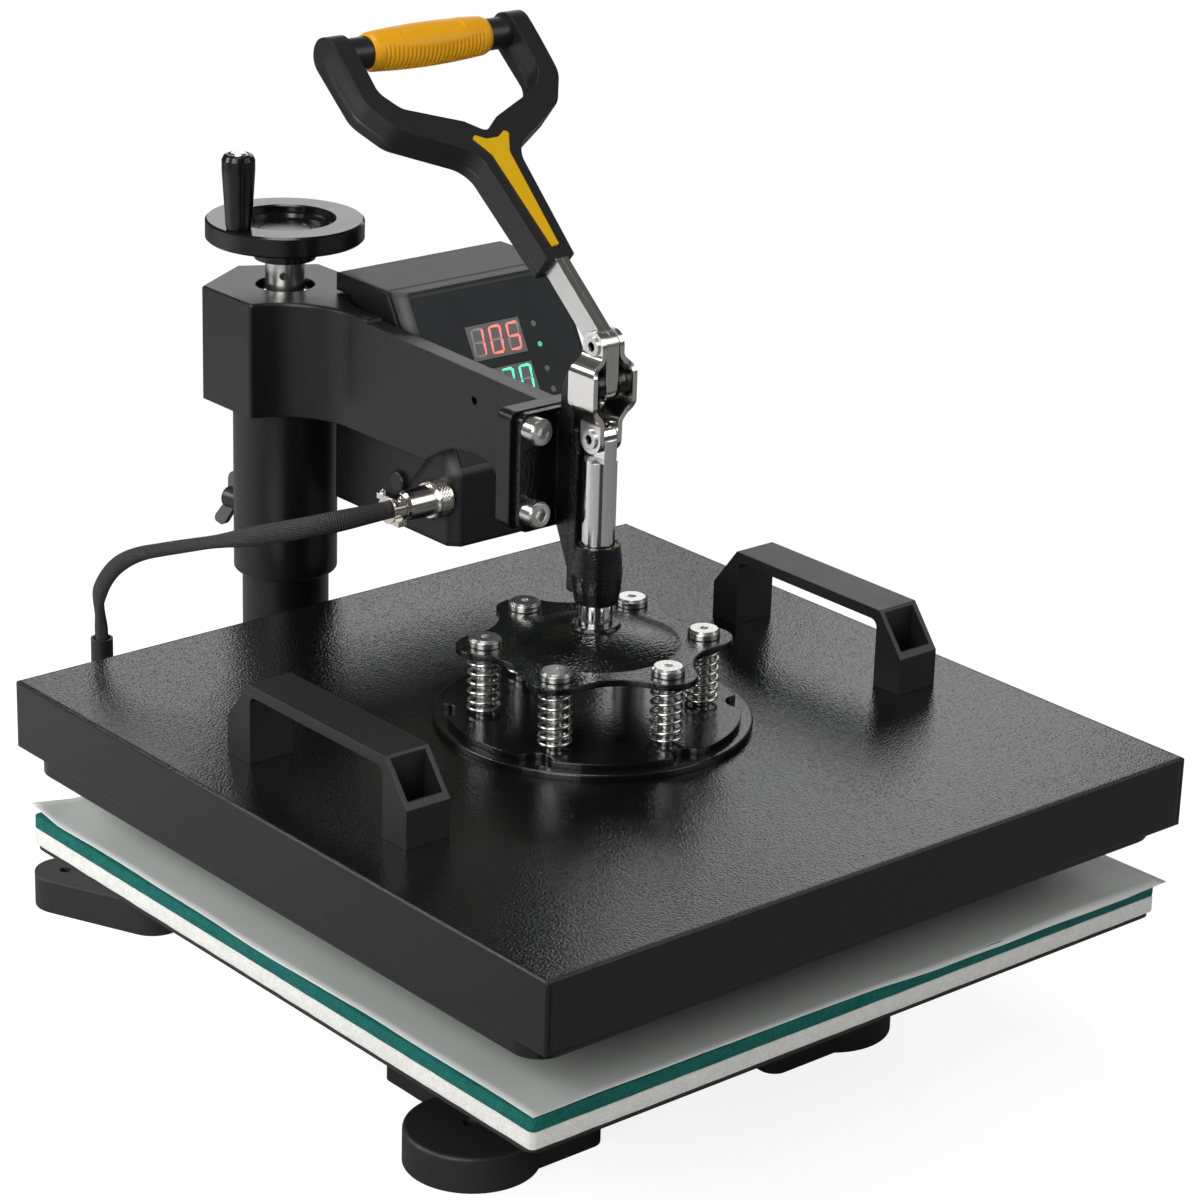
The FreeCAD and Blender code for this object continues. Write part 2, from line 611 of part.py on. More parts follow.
def bracket_casting():
    """Bolted plate, web, cross rib, guide barrel and the fork that carries the fulcrum pin."""
    face = FLANGE_Y - BRACKET_T
    rib_front = PRESS_Y + SHAFT_R + 0.5
    rib_back = rib_front + RIB_T
    plate = prism([(Vector(x * BRACKET_W / 2, face, z), 5)
                   for x, z in ((-1, BRACKET_BOTTOM), (1, BRACKET_BOTTOM), (1, BRACKET_TOP), (-1, BRACKET_TOP))],
                  BACK * BRACKET_T)
    web = side_prism([(face + 1, BRACKET_BOTTOM + 1, 0), (face - 1, BRACKET_BOTTOM, 0),
                      (face - 14.5, BARREL_BOTTOM, 0), (rib_front, BARREL_BOTTOM, 0),
                      (rib_front, BRACKET_TOP - 2, 0), (face + 1, BRACKET_TOP - 2, 0)], -WEB_T / 2, WEB_T / 2)
    rib = prism([(Vector(x, rib_front, z), 2) for x, z in
                 ((-RIB_HALF, BARREL_BOTTOM + 2), (RIB_HALF, BARREL_BOTTOM + 2),
                  (RIB_HALF, BRACKET_TOP - 5), (-RIB_HALF, BRACKET_TOP - 5))], BACK * RIB_T)
    middle = (BARREL_BOTTOM + BARREL_TOP) / 2
    bore = SHAFT_R + RUNNING + BUSH_WALL
    wall = [(BARREL_R - 1.8, BARREL_BOTTOM), (BARREL_R - 0.5, middle - 8), (BARREL_R, middle),
            (BARREL_R - 0.5, middle + 7), (BARREL_R - 1.4, BARREL_TOP)]
    barrel = turned([(bore, BARREL_BOTTOM)] + wall + [(bore, BARREL_TOP)], PRESS)
    ear_x = LEVER_T + 0.35 + EAR_T
    fork = side_prism([(rib_back + 6, BRACKET_TOP - 8, 0), (rib_back + 6, FULCRUM_Z - 2, 6),
                       (rib_back, FULCRUM_Z + EAR_R, 6), (PRESS_Y - EAR_R, FULCRUM_Z + EAR_R, EAR_R - 0.1),
                       (PRESS_Y - EAR_R, FULCRUM_Z - EAR_R, EAR_R - 0.1), (rib_front + 2, FULCRUM_Z - EAR_R, 3),
                       (rib_front + 2, BRACKET_TOP - 8, 0)], -ear_x, ear_x)
    body = plate.fuse([web, rib, barrel, fork]).removeSplitter()
    slot = LEVER_T + 0.35
    cuts = [rod(bore, BARREL_TOP - BARREL_BOTTOM + 2, PRESS + UP * (BARREL_BOTTOM - 1)),
            block(-slot, slot, PRESS_Y - 20, rib_front, FULCRUM_Z - 20, FULCRUM_Z + 20),
            rod(FULCRUM_R, 4 * EAR_R, FULCRUM - RIGHT * 2 * EAR_R, RIGHT)]
    for x in (-BRACKET_BOLT_X, BRACKET_BOLT_X):
        for z in BRACKET_BOLT_Z:
            cuts.append(rod(BOLT_SHANK_R, 2 * FLANGE_T, Vector(x, face - 1, z), BACK))
    return body.cut(cuts)


def bracket_bolts():
    face = FLANGE_Y - BRACKET_T
    bolts = []
    for x in (-BRACKET_BOLT_X, BRACKET_BOLT_X):
        for z in BRACKET_BOLT_Z:
            shank = rod(BOLT_SHANK_R, BRACKET_T + FLANGE_T + 1, Vector(x, face, z), BACK)
            head = rod(BOLT_HEAD_R, BOLT_HEAD_H, Vector(x, face - BOLT_HEAD_H, z), BACK)
            head = head.makeChamfer(0.8, [e for e in head.Edges if e.BoundBox.YMax < face - BOLT_HEAD_H + 0.01])
            corners = [Vector(x + 3.4 * math.cos(math.radians(60 * i)), face - BOLT_HEAD_H - 1,
                              z + 3.4 * math.sin(math.radians(60 * i))) for i in range(6)]
            socket = Part.Face(Part.makePolygon(corners + corners[:1])).extrude(BACK * 5)
            bolts.append(shank.fuse(head).removeSplitter().cut(socket))
    return group(bolts)


def guide_bush():
    inner = SHAFT_R + RUNNING
    return turned([(inner, BARREL_BOTTOM + 0.5), (inner + BUSH_WALL, BARREL_BOTTOM + 0.5),
                   (inner + BUSH_WALL, BARREL_TOP - 0.5), (inner, BARREL_TOP - 0.5)], PRESS)


def fulcrum_pin():
    ear_x = LEVER_T + 0.35 + EAR_T
    shank = rod(FULCRUM_R, 2 * ear_x, FULCRUM - RIGHT * ear_x, RIGHT)
    heads = [rod(FULCRUM_HEAD_R, FULCRUM_HEAD_H, FULCRUM + RIGHT * ear_x, RIGHT),
             rod(FULCRUM_HEAD_R, FULCRUM_HEAD_H, FULCRUM - RIGHT * (ear_x + FULCRUM_HEAD_H), RIGHT)]
    return shank.fuse(heads).removeSplitter()


# Toggle


def lever_profile():
    """Side outline of a lever plate: an upright leg at the pivots, then back along the handle."""
    leg = LEVER_LEG_W / 2
    arm = LEVER_W / 2
    tip = ELBOW + ALONG * LEVER_LENGTH
    upright = side_prism([(PRESS_Y - leg, FULCRUM_Z - leg, leg - 0.01), (PRESS_Y + leg, FULCRUM_Z - leg, leg - 0.01),
                          (PRESS_Y + leg, ELBOW_Z + leg, leg - 0.01), (PRESS_Y - leg, ELBOW_Z + leg, leg - 0.01)],
                         0, LEVER_T)
    shoulder = ELBOW + ALONG * STEM_START
    tang = TANG_W / 2
    upper = prism([(ELBOW - OUT * arm - ALONG * 2, 0), (shoulder - OUT * arm, 0), (shoulder - OUT * tang, 0),
                   (tip - OUT * tang, 1), (tip + OUT * tang, 1), (shoulder + OUT * tang, 0), (shoulder + OUT * arm, 0),
                   (ELBOW + OUT * arm - ALONG * 2, 0)], RIGHT * LEVER_T)
    return upright.fuse(upper).removeSplitter()


def lever_plates():
    plate = lever_profile().cut([rod(PIN_R + RUNNING, LEVER_T + 2, ELBOW - RIGHT, RIGHT),
                                 rod(FULCRUM_R + RUNNING, LEVER_T + 2, FULCRUM - RIGHT, RIGHT)])
    return group(both_sides(plate))


def link_plates():
    """Two straps that stand outwards round the fulcrum and lie close at both pins."""
    half = LINK_BOW_W / 2
    bow_low, bow_high = FULCRUM_Z - EAR_R - 0.9, FULCRUM_Z + EAR_R + 0.3
    inner, outer = LINK_INNER, LINK_BOW
    low, high = SHAFT_PIN_Z - LINK_EYE_R, ELBOW_Z + LINK_EYE_R
    strap = [(inner, low), (inner, bow_low - 6.5), (outer, bow_low), (outer, bow_high), (inner, bow_high + 5.5),
             (inner, high)]
    back = [(x + LINK_T, z) for x, z in strap]
    back[1] = (inner + LINK_T, bow_low - 7.6)
    back[2] = (outer + LINK_T, bow_low - 1.1)
    back[3] = (outer + LINK_T, bow_high + 1.2)
    back[4] = (inner + LINK_T, bow_high + 6.7)
    corners = [(Vector(x, PRESS_Y - half - 1, z), 0) for x, z in strap + back[::-1]]
    sheet = prism(corners, BACK * (LINK_BOW_W + 2))
    eye = LINK_EYE_R
    front = [(PRESS_Y - eye, low, eye - 0.01), (PRESS_Y - eye, bow_low - 4, 3), (PRESS_Y - half, bow_low + 1, 2),
             (PRESS_Y - half, bow_high - 1, 2), (PRESS_Y - eye, bow_high + 3, 3), (PRESS_Y - eye, high, eye - 0.01),
             (PRESS_Y + eye, high, eye - 0.01), (PRESS_Y + eye, bow_high + 3, 3), (PRESS_Y + half, bow_high - 1, 2),
             (PRESS_Y + half, bow_low + 1, 2), (PRESS_Y + eye, bow_low - 4, 3), (PRESS_Y + eye, low, eye - 0.01)]
    strap_solid = sheet.common(side_prism(front, 0, outer + 2 * LINK_T))
    strap_solid = strap_solid.cut([rod(PIN_R, 4 * LINK_T, ELBOW + RIGHT * 2, RIGHT),
                                   rod(PIN_R, 4 * LINK_T, SHAFT_PIN + RIGHT * 2, RIGHT)])
    return group(both_sides(strap_solid))


def link_pins():
    """Elbow pin right through the lever, and a rivet in each lower eye of the link plates."""
    face = LINK_INNER + LINK_T
    head = [rod(RIVET_HEAD_R, RIVET_HEAD_H, ELBOW + RIGHT * face, RIGHT),
            rod(RIVET_HEAD_R, RIVET_HEAD_H, ELBOW - RIGHT * (face + RIVET_HEAD_H), RIGHT)]
    dimples = [rod(PIN_R - 0.8, 2, ELBOW + RIGHT * face, RIGHT), rod(PIN_R - 0.8, 2, ELBOW - RIGHT * (face + 2), RIGHT)]
    elbow = rod(PIN_R, 2 * face, ELBOW - RIGHT * face, RIGHT).fuse(head).removeSplitter().cut(dimples)
    stub = rod(PIN_R, LINK_T, SHAFT_PIN + RIGHT * LINK_INNER, RIGHT)
    stub = stub.fuse(rod(RIVET_HEAD_R, RIVET_HEAD_H, SHAFT_PIN + RIGHT * face, RIGHT)).removeSplitter()
    stub = stub.cut(rod(PIN_R - 0.8, 2, SHAFT_PIN + RIGHT * face, RIGHT))
    return group([elbow] + both_sides(stub))


# Handle


def handle_half_outline():
    """Front view of the handle's right half, (x, s, corner radius), from its foot to the arm's end."""
    outer = [(STEM_FOOT_HALF, 0, 1.5), (11.0, 62, 14), (ARM_OUTER - 10, 82, 12), (ARM_OUTER, 98, 14),
             (ARM_OUTER, GRIP_S, 0)]
    inner = [(ARM_INNER, GRIP_S, 0), (ARM_INNER, 102, 9), (ARM_INNER - 8, 92, 9), (9, 80, 8)]
    return outer, inner


def handle_frame():
    """Moulded two-armed handle; its side view thickens upwards and ends round at the grip bar."""
    outer, inner = handle_half_outline()
    right = outer + inner
    left = [(-x, s, r) for x, s, r in (outer + inner)[::-1]]
    ring = right + [(0, 73, 4)] + left
    deep = 14.0
    corners = [(handle_point(x, s, -deep), r) for x, s, r in ring]
    body = prism(corners, OUT * (2 * deep))
    grip = handle_point(0, GRIP_S)
    end = FRAME_END_R
    side = prism([(handle_point(-70, -1, -STEM_BACK), 0), (handle_point(-70, GRIP_S, -end), 0),
                  (handle_point(-70, GRIP_S, end), 0), (handle_point(-70, 86, STEM_FRONT + 1), 20),
                  (handle_point(-70, -1, STEM_FRONT), 0)], RIGHT * 140)
    body = body.common(side)
    ends = [rod(end, ARM_OUTER - ARM_INNER, grip + RIGHT * ARM_INNER, RIGHT),
            rod(end, ARM_OUTER - ARM_INNER, grip - RIGHT * ARM_OUTER, RIGHT)]
    body = body.fuse(ends).removeSplitter()
    cuts = [group(both_sides(lever_profile()))]
    cuts.append(rod(GRIP_BAR_R, 2 * ARM_INNER + 10, grip - RIGHT * (ARM_INNER + 5), RIGHT))
    cuts.append(inlay_solid())
    return body.cut(cuts)


def inlay_solid():
    """Yellow forked strip let into the front of the stem."""
    depth = STEM_FRONT - 1.2
    shape = [(1.8, 6.5, 0.5), (5.0, 60, 6), (10.8, 70.5, 1.2), (8.4, 71.8, 1.0), (3.5, 68.8, 4)]
    ring = shape + [(-x, s, r) for x, s, r in shape[::-1]]
    return prism([(handle_point(x, s, depth), r) for x, s, r in ring], OUT * 2.6)


def grip_axis_solid(points):
    """Solid of revolution about the grip bar, from (radius, x) points."""
    solid = turned(points, Vector(), UP)
    solid.Placement = FreeCAD.Placement(handle_point(0, GRIP_S), Rotation(UP, RIGHT))
    return solid


def grip_bar():
    reach = ARM_INNER + 5
    return grip_axis_solid([(0, -reach), (GRIP_BAR_R, -reach), (GRIP_BAR_R, reach), (0, reach)])


def grip_sleeve():
    """Soft barrel grip, fullest in the middle."""
    steps = 12
    wall = []
    for i in range(steps + 1):
        t = 2 * i / steps - 1
        wall.append((GRIP_MID_R - (GRIP_MID_R - GRIP_END_R) * t * t, t * GRIP_HALF))
    return grip_axis_solid([(GRIP_BAR_R, -GRIP_HALF)] + wall + [(GRIP_BAR_R, GRIP_HALF)])


# Press


def press_shaft():
    """Chromed shaft with a milled tongue for the link plates."""
    shaft = rod(SHAFT_R, SHAFT_PIN_Z + LINK_EYE_R - SHAFT_BOTTOM, PRESS + UP * SHAFT_BOTTOM)
    top = SHAFT_PIN_Z + LINK_EYE_R
    tongue = LEVER_T + 0.05
    cuts = [block(tongue, 2 * SHAFT_R, PRESS_Y - 2 * SHAFT_R, PRESS_Y + 2 * SHAFT_R, TONGUE_Z, top + 1),
            block(-2 * SHAFT_R, -tongue, PRESS_Y - 2 * SHAFT_R, PRESS_Y + 2 * SHAFT_R, TONGUE_Z, top + 1),
            rod(PIN_R + RUNNING, 4 * SHAFT_R, SHAFT_PIN - RIGHT * 2 * SHAFT_R, RIGHT)]
    cap = block(-SHAFT_R, SHAFT_R, PRESS_Y - SHAFT_R, PRESS_Y + SHAFT_R, SHAFT_BOTTOM, SHAFT_PIN_Z)
    cap = cap.fuse(rod(LINK_EYE_R, 2 * SHAFT_R, SHAFT_PIN - RIGHT * SHAFT_R, RIGHT))
    return shaft.cut(cuts).common(cap)


def star_face():
    """Six round lobes joined by hollow arcs that touch them."""
    step = 360 / SCREW_COUNT
    cos_half = math.cos(math.radians(step / 2))
    p, l, v = SCREW_PCD_R, LOBE_R, VALLEY_R
    hollow = (v * v + p * p - 2 * p * v * cos_half - l * l) / (2 * l - 2 * v + 2 * p * cos_half)
    edges = []
    joints = []
    for angle in SCREW_ANGLES:
        lobe = around(angle, p, STAR_Z)
        for side in (-1, 1):
            centre = around(angle + side * step / 2, v + hollow, STAR_Z)
            joints.append(lobe + (centre - lobe).normalize() * l)
    for i, angle in enumerate(SCREW_ANGLES):
        first, last = joints[2 * i], joints[2 * i + 1]
        following = joints[(2 * i + 2) % len(joints)]
        edges.append(Part.Arc(first, around(angle, p + l, STAR_Z), last).toShape())
        edges.append(Part.Arc(last, around(angle + step / 2, v, STAR_Z), following).toShape())
    return Part.Face(Part.Wire(edges))


def pressure_plate():
    """Star plate, dished dome and the boss that the shaft screws into, welded in one."""
    star = star_face().extrude(UP * STAR_T)
    rise = DOME_RISE + (DOME_R - BOSS_R) * 0.02
    steps = 8

    def cap(height, r):
        return height + rise * (1 - (r / DOME_R) ** 2)

    radii = [DOME_R + (BOSS_R - DOME_R) * i / steps for i in range(steps + 1)]
    top = [(r, cap(STAR_TOP, r)) for r in radii]
    under = [(r, cap(STAR_Z, r)) for r in radii[1:-1]]
    ring = [(SHAFT_R, SHAFT_BOTTOM - 1), (BOSS_R + 2, SHAFT_BOTTOM - 1), (BOSS_R + 2, cap(STAR_Z, BOSS_R + 2))]
    ring += under[::-1] + [(DOME_R, STAR_Z)] + top
    ring += [(BOSS_R - 0.8, BOSS_TOP), (SHAFT_R, BOSS_TOP)]
    dome = turned(ring, PRESS)
    body = star.cut(rod(DOME_R - 0.5, STAR_T + 2, PRESS + UP * (STAR_Z - 1))).fuse(dome).removeSplitter()
    return body.cut([rod(SCREW_R + APART, STAR_T + 4, around(a, SCREW_PCD_R, STAR_Z - 2)) for a in SCREW_ANGLES])


def spring_wire(at, length):
    """One unbroken coil with closed ends, swept along quarter-turn arcs."""
    quarters = 4 * SPRING_TURNS
    end_quarters = 4
    free = length - 2 * SPRING_WIRE_R
    open_rise = (free - 2 * SPRING_END_PITCH) / (quarters - 2 * end_quarters)

    def height(q):
        low = min(q, end_quarters) * SPRING_END_PITCH / 4
        middle = max(0, min(q, quarters - end_quarters) - end_quarters) * open_rise
        high = max(0, q - (quarters - end_quarters)) * SPRING_END_PITCH / 4
        return low + middle + high

    def point(q):
        a = math.pi / 2 * q
        return at + Vector(SPRING_MEAN_R * math.cos(a), SPRING_MEAN_R * math.sin(a), SPRING_WIRE_R + height(q))

    edges = [Part.Arc(point(q), point(q + 0.5), point(q + 1)).toShape() for q in range(quarters)]
    path = Part.Wire(edges)
    start = edges[0].tangentAt(edges[0].FirstParameter)
    section = Part.Wire(Part.makeCircle(SPRING_WIRE_R, point(0), start))
    return path.makePipeShell([section], True, False)


def pressure_springs():
    bottom = BAYONET_TOP + APART
    length = STAR_Z - bottom
    springs = [spring_wire(around(a, SCREW_PCD_R, bottom), length) for a in SCREW_ANGLES]
    print("spring: least gap between turns", round(SPRING_END_PITCH - 2 * SPRING_WIRE_R, 2), "mm")
    return group(springs)


# Platen


def spring_screws():
    screws = []
    for a in SCREW_ANGLES:
        head = STAR_TOP + APART
        top = head + SCREW_HEAD_H
        screw = turned([(0, DISC_TOP), (SCREW_R, DISC_TOP), (SCREW_R, head), (SCREW_HEAD_R, head),
                        (SCREW_HEAD_R, top - 1.2), (SCREW_HEAD_R - 1.2, top), (0, top)],
                       around(a, SCREW_PCD_R, 0))
        socket = rod(2.0, 2.5, around(a, SCREW_PCD_R, top - 2))
        screws.append(screw.cut(socket))
    return group(screws)


def bayonet_plate():
    plate = rod(BAYONET_R, BAYONET_T, PRESS + UP * DISC_TOP)
    cuts = []
    for a in SCREW_ANGLES:
        cuts.append(rod(SCREW_R, BAYONET_T + 2, around(a, SCREW_PCD_R, DISC_TOP - 1)))
        cuts.append(rod(NOTCH_R, BAYONET_T + 2, around(a - 2, BAYONET_R + 1.5, DISC_TOP - 1)))
    return plate.cut(cuts)


def mount_disc():
    disc = rod(DISC_R, DISC_T, PRESS + UP * COVER_TOP)
    return disc.makeFillet(1, [e for e in disc.Edges if e.BoundBox.ZMin > DISC_TOP - 0.01])


def gland_place():
    return Vector(GLAND_X, PRESS_Y + COVER_Y / 2, COVER_TOP - GLAND_DROP)


def platen_cover():
    """Folded sheet cover: flat top, four turned-down walls, open corner seams."""
    x, y = COVER_X / 2, COVER_Y / 2
    bottom = COVER_TOP - COVER_WALL
    shell = block(-x, x, PRESS_Y - y, PRESS_Y + y, bottom, COVER_TOP)
    shell = shell.makeFillet(1.2, [e for e in shell.Edges if min(v.Z for v in e.Vertexes) > COVER_TOP - 0.01])
    cuts = [block(-x + COVER_T, x - COVER_T, PRESS_Y - y + COVER_T, PRESS_Y + y - COVER_T, bottom - 1,
                  COVER_INNER_TOP)]
    seam = 0.4
    for sx in (-1, 1):
        for sy in (-1, 1):
            at_x = sx * (x - COVER_T - seam / 2)
            at_y = PRESS_Y + sy * (y - COVER_T / 2)
            cuts.append(block(at_x - seam / 2, at_x + seam / 2, at_y - COVER_T, at_y + COVER_T, bottom - 1,
                              COVER_TOP - 2.5))
    cuts.append(rod(6, 4 * COVER_T, gland_place() - BACK * 2 * COVER_T, BACK))
    return shell.cut(cuts)


def element_bars(z0, z1):
    """Serpentine of straight rows joined by half rings."""
    bars = []
    pitch = (HEAT_SIDE - 2 * ELEMENT_MARGIN) / (ELEMENT_ROWS - 1)
    reach = HEAT_SIDE / 2 - ELEMENT_END
    half = ELEMENT_W / 2
    for row in range(ELEMENT_ROWS):
        y = PRESS_Y - HEAT_SIDE / 2 + ELEMENT_MARGIN + row * pitch
        bars.append(block(-reach, reach, y - half, y + half, z0, z1))
        if row == ELEMENT_ROWS - 1:
            break
        side = 1 if row % 2 == 0 else -1
        middle = Vector(side * reach, y + pitch / 2, z0)
        ring = rod(pitch / 2 + half, z1 - z0, middle).cut(rod(pitch / 2 - half, z1 - z0, middle))
        keep = block(min(0, side * 40), max(0, side * 40), -40, 40, z0, z1)
        keep.translate(Vector(middle.x, middle.y, 0))
        bars.append(ring.common(keep))
    return bars[0].fuse(bars[1:]).removeSplitter()


def heat_plate():
    plate = pad_sheet(HEAT_SIDE, HEAT_Z, HEAT_T, HEAT_CORNER)
    plate = plate.makeFillet(1.2, [e for e in plate.Edges if e.BoundBox.ZMax < HEAT_Z + 0.01])
    return plate.cut(element_bars(HEAT_TOP - ELEMENT_W, HEAT_TOP + 1))


def heater_element():
    return element_bars(HEAT_TOP - ELEMENT_W, HEAT_TOP)


def stand_off_points(z):
    half = HEAT_SIDE / 2 - STAND_OFF_IN
    return [Vector(x * half, PRESS_Y + y * half, z) for x in (-1, 1) for y in (-1, 1)]


def insulation():
    sheet = pad_sheet(HEAT_SIDE - 6, HEAT_TOP, INSULATION_T, 8)
    return sheet.cut([rod(STAND_OFF_R, INSULATION_T + 2, p) for p in stand_off_points(HEAT_TOP - 1)])


def stand_offs():
    return group([rod(STAND_OFF_R, COVER_INNER_TOP - HEAT_TOP, p) for p in stand_off_points(HEAT_TOP)])


def carry_handle():
    """Hollow bridge handle with slanted open ends."""
    half = CARRY_LENGTH / 2
    top = COVER_TOP + CARRY_H
    shoulder = COVER_TOP + CARRY_SHOULDER
    middle = PRESS_Y + 1
    x0, x1 = CARRY_X - CARRY_W / 2, CARRY_X + CARRY_W / 2
    body = side_prism([(middle - half, COVER_TOP, 0), (middle + half, COVER_TOP, 0), (middle + half, shoulder, 0),
                       (middle + half - CARRY_SLANT, top, 0), (middle - half + CARRY_SLANT, top, 0),
                       (middle - half, shoulder, 0)], x0, x1)
    inner = half - CARRY_FOOT
    window = side_prism([(middle - inner, COVER_TOP - 5, 0), (middle + inner, COVER_TOP - 5, 0),
                         (middle + inner, top - CARRY_GRIP_T, 4), (middle - inner, top - CARRY_GRIP_T, 4)],
                        x0 - 1, x1 + 1)
    cuts = [window]
    for side in (-1, 1):
        low, high = sorted((middle + side * (inner + CARRY_WALL), middle + side * (half - CARRY_WALL)))
        cuts.append(block(x0 + CARRY_WALL, x1 - CARRY_WALL, low, high, COVER_TOP + 5, top + 1))
        cuts.append(rod(2.5, 20, Vector(CARRY_X, (low + high) / 2, COVER_TOP - 1)))
    return body.cut(cuts)


def carry_handle_screws():
    """Pan screws down through the feet of the carrying handles."""
    screws = []
    middle = PRESS_Y + 1
    for x in (-CARRY_X, CARRY_X):
        for side in (-1, 1):
            at = Vector(x, middle + side * (CARRY_LENGTH / 2 - CARRY_FOOT / 2), 0)
            screws.append(turned([(0, COVER_TOP), (2.5, COVER_TOP), (2.5, COVER_TOP + 5), (4.2, COVER_TOP + 5),
                                  (4.2, COVER_TOP + 7), (3, COVER_TOP + 8), (0, COVER_TOP + 8)], at))
    return group(screws)


def cable_gland():
    """Six-sided nut on the back wall of the cover, and an elbow whose upright mouth takes the cable."""
    at = gland_place()
    corners = []
    for i in range(6):
        a = math.radians(60 * i)
        corners.append(at + Vector(8 * math.cos(a), 0, 8 * math.sin(a)))
    nut = Part.Face(Part.makePolygon(corners + corners[:1])).extrude(BACK * 5)
    thread = rod(6, COVER_T + 4, at - BACK * (COVER_T + 4), BACK)
    bend = at + BACK * ELBOW_REACH
    elbow = rod(ELBOW_R, ELBOW_REACH, at, BACK).fuse([Part.makeSphere(ELBOW_R, bend), rod(ELBOW_R, ELBOW_RISE, bend)])
    mouth = rod(CABLE_R + APART, ELBOW_RISE, bend + UP * (ELBOW_RISE - CABLE_IN - FLOAT))
    return nut.fuse([thread, elbow]).removeSplitter().cut(mouth)


# Control box


def box_profile(inset=0.0):
    """Side outline of the box, (y, z, corner radius): flat top, sloping panel, upright front."""
    slope = math.atan2(BOX_TOP_FRONT - BOX_FRONT, BOX_TOP - BOX_SILL)
    shift = inset / math.cos(slope)
    return [(BOX_BACK - inset, BOX_BOTTOM + inset, 0), (BOX_BACK - inset, BOX_TOP - inset, 0),
            (BOX_TOP_FRONT + shift - inset * math.tan(slope), BOX_TOP - inset, 0),
            (BOX_FRONT + inset, BOX_SILL - shift / math.tan(slope) + inset / math.tan(slope), 0),
            (BOX_FRONT + inset, BOX_BOTTOM + inset, 0)]


def slope_point(x, z, out=0.0):
    """Point on the sloping panel at a height, moved out of it."""
    return Vector(x, BOX_FRONT + (z - BOX_SILL) * PANEL_RUN, z) + PANEL_OUT * out


def slope_patch(x0, x1, z0, z1, out, thick, corner=0.0):
    """Flat piece on the sloping panel between two X values and two heights."""
    corners = [(slope_point(x, z, out), corner) for x, z in ((x0, z0), (x1, z0), (x1, z1), (x0, z1))]
    return prism(corners, PANEL_OUT * thick)


def head_relief(grow=0.0):
    """Three-cornered space for the arm's head in the box's rear left corner."""
    leg = RELIEF + 1 + grow * math.sqrt(2)
    x, y = BOX_LEFT - 1, BOX_BACK + 1
    return plan_prism([(x, y - leg, 0), (x + leg, y, 0), (x, y, 0)], HEAD_BOTTOM - 2 - grow, HEAD_TOP + 1 + grow)


def box_shell():
    right = BOX_LEFT + BOX_W
    body = side_prism(box_profile(), BOX_LEFT, right)

    def is_bevelled(edge):
        box = edge.BoundBox
        on_side = box.XMax - box.XMin < 0.01 and box.YMax < BOX_TOP_FRONT + 0.01
        return on_side and box.ZMin > BOX_BOTTOM - 0.01 and box.ZMax - box.ZMin > 1

    body = body.makeChamfer(BOX_BEVEL, [e for e in body.Edges if is_bevelled(e)])
    hollow = side_prism(box_profile(BOX_WALL), BOX_LEFT + BOX_WALL, right - BOX_WALL)
    edges = [e for e in hollow.Edges if e.BoundBox.XMax - e.BoundBox.XMin < 0.01
             and e.BoundBox.YMax < BOX_TOP_FRONT + BOX_WALL + 0.01 and e.BoundBox.ZMax - e.BoundBox.ZMin > 1]
    hollow = hollow.makeChamfer(BOX_INNER_BEVEL, edges)
    return body.cut([hollow.cut(head_relief(BOX_WALL)), head_relief()])


def cover_region(gap):
    """Space of the front cover, in front of the seam on the sides of the box."""
    lip = BOX_LIP - gap
    points = [(BOX_FRONT - 20, BOX_BOTTOM - 5, 0), (61 - gap, BOX_BOTTOM - 5, 0), (61 - gap, BOX_BOTTOM, 0),
              (BOX_FRONT + lip + 10 * PANEL_RUN, BOX_SILL + 10, 0),
              (BOX_TOP_FRONT + lip, BOX_TOP, 0), (BOX_TOP_FRONT + lip, BOX_TOP + 5, 0),
              (BOX_FRONT - 20, BOX_TOP + 5, 0)]
    return side_prism(points, BOX_LEFT - 5, BOX_LEFT + BOX_W + 5)


def box_housing():
    rest = box_shell().cut(cover_region(0.0))
    cuts = [rod(5, 3 * BOX_WALL, SPARE_HOLE_AT - RIGHT * BOX_WALL, RIGHT)]
    cuts.append(block(INLET_AT.x - 14, INLET_AT.x + 14, BOX_BACK - 2 * BOX_WALL, BOX_BACK + 1,
                      INLET_AT.z - 10.5, INLET_AT.z + 10.5))
    cuts.append(block(ROCKER_AT.x - 6.8, ROCKER_AT.x + 6.8, BOX_BACK - 2 * BOX_WALL, BOX_BACK + 1,
                      ROCKER_AT.z - 10.3, ROCKER_AT.z + 10.3))
    foot = block(ARM_T / 2, BOX_LEFT, 34, 62, HEAD_BOTTOM + 8, HEAD_TOP - 25)
    return rest.cut(cuts).fuse(foot)


def box_cover():
    front = box_shell().common(cover_region(SEAM_GAP))
    cuts = [rod(5, 3 * BOX_WALL, SOCKET_AT - RIGHT * BOX_WALL, RIGHT)]
    cuts.append(slope_patch(*WINDOW_X, WINDOW_ROWS[0][0], WINDOW_ROWS[1][1], -3 * BOX_WALL, 5 * BOX_WALL))
    for x in KEY_X:
        cuts.append(rod(KEY_R + APART, 6 * BOX_WALL, slope_point(x, KEY_Z, -3 * BOX_WALL), PANEL_OUT))
    for z in LAMP_Z:
        cuts.append(rod(LAMP_R, 6 * BOX_WALL, slope_point(LAMP_X, z, -3 * BOX_WALL), PANEL_OUT))
    return front.cut(cuts)


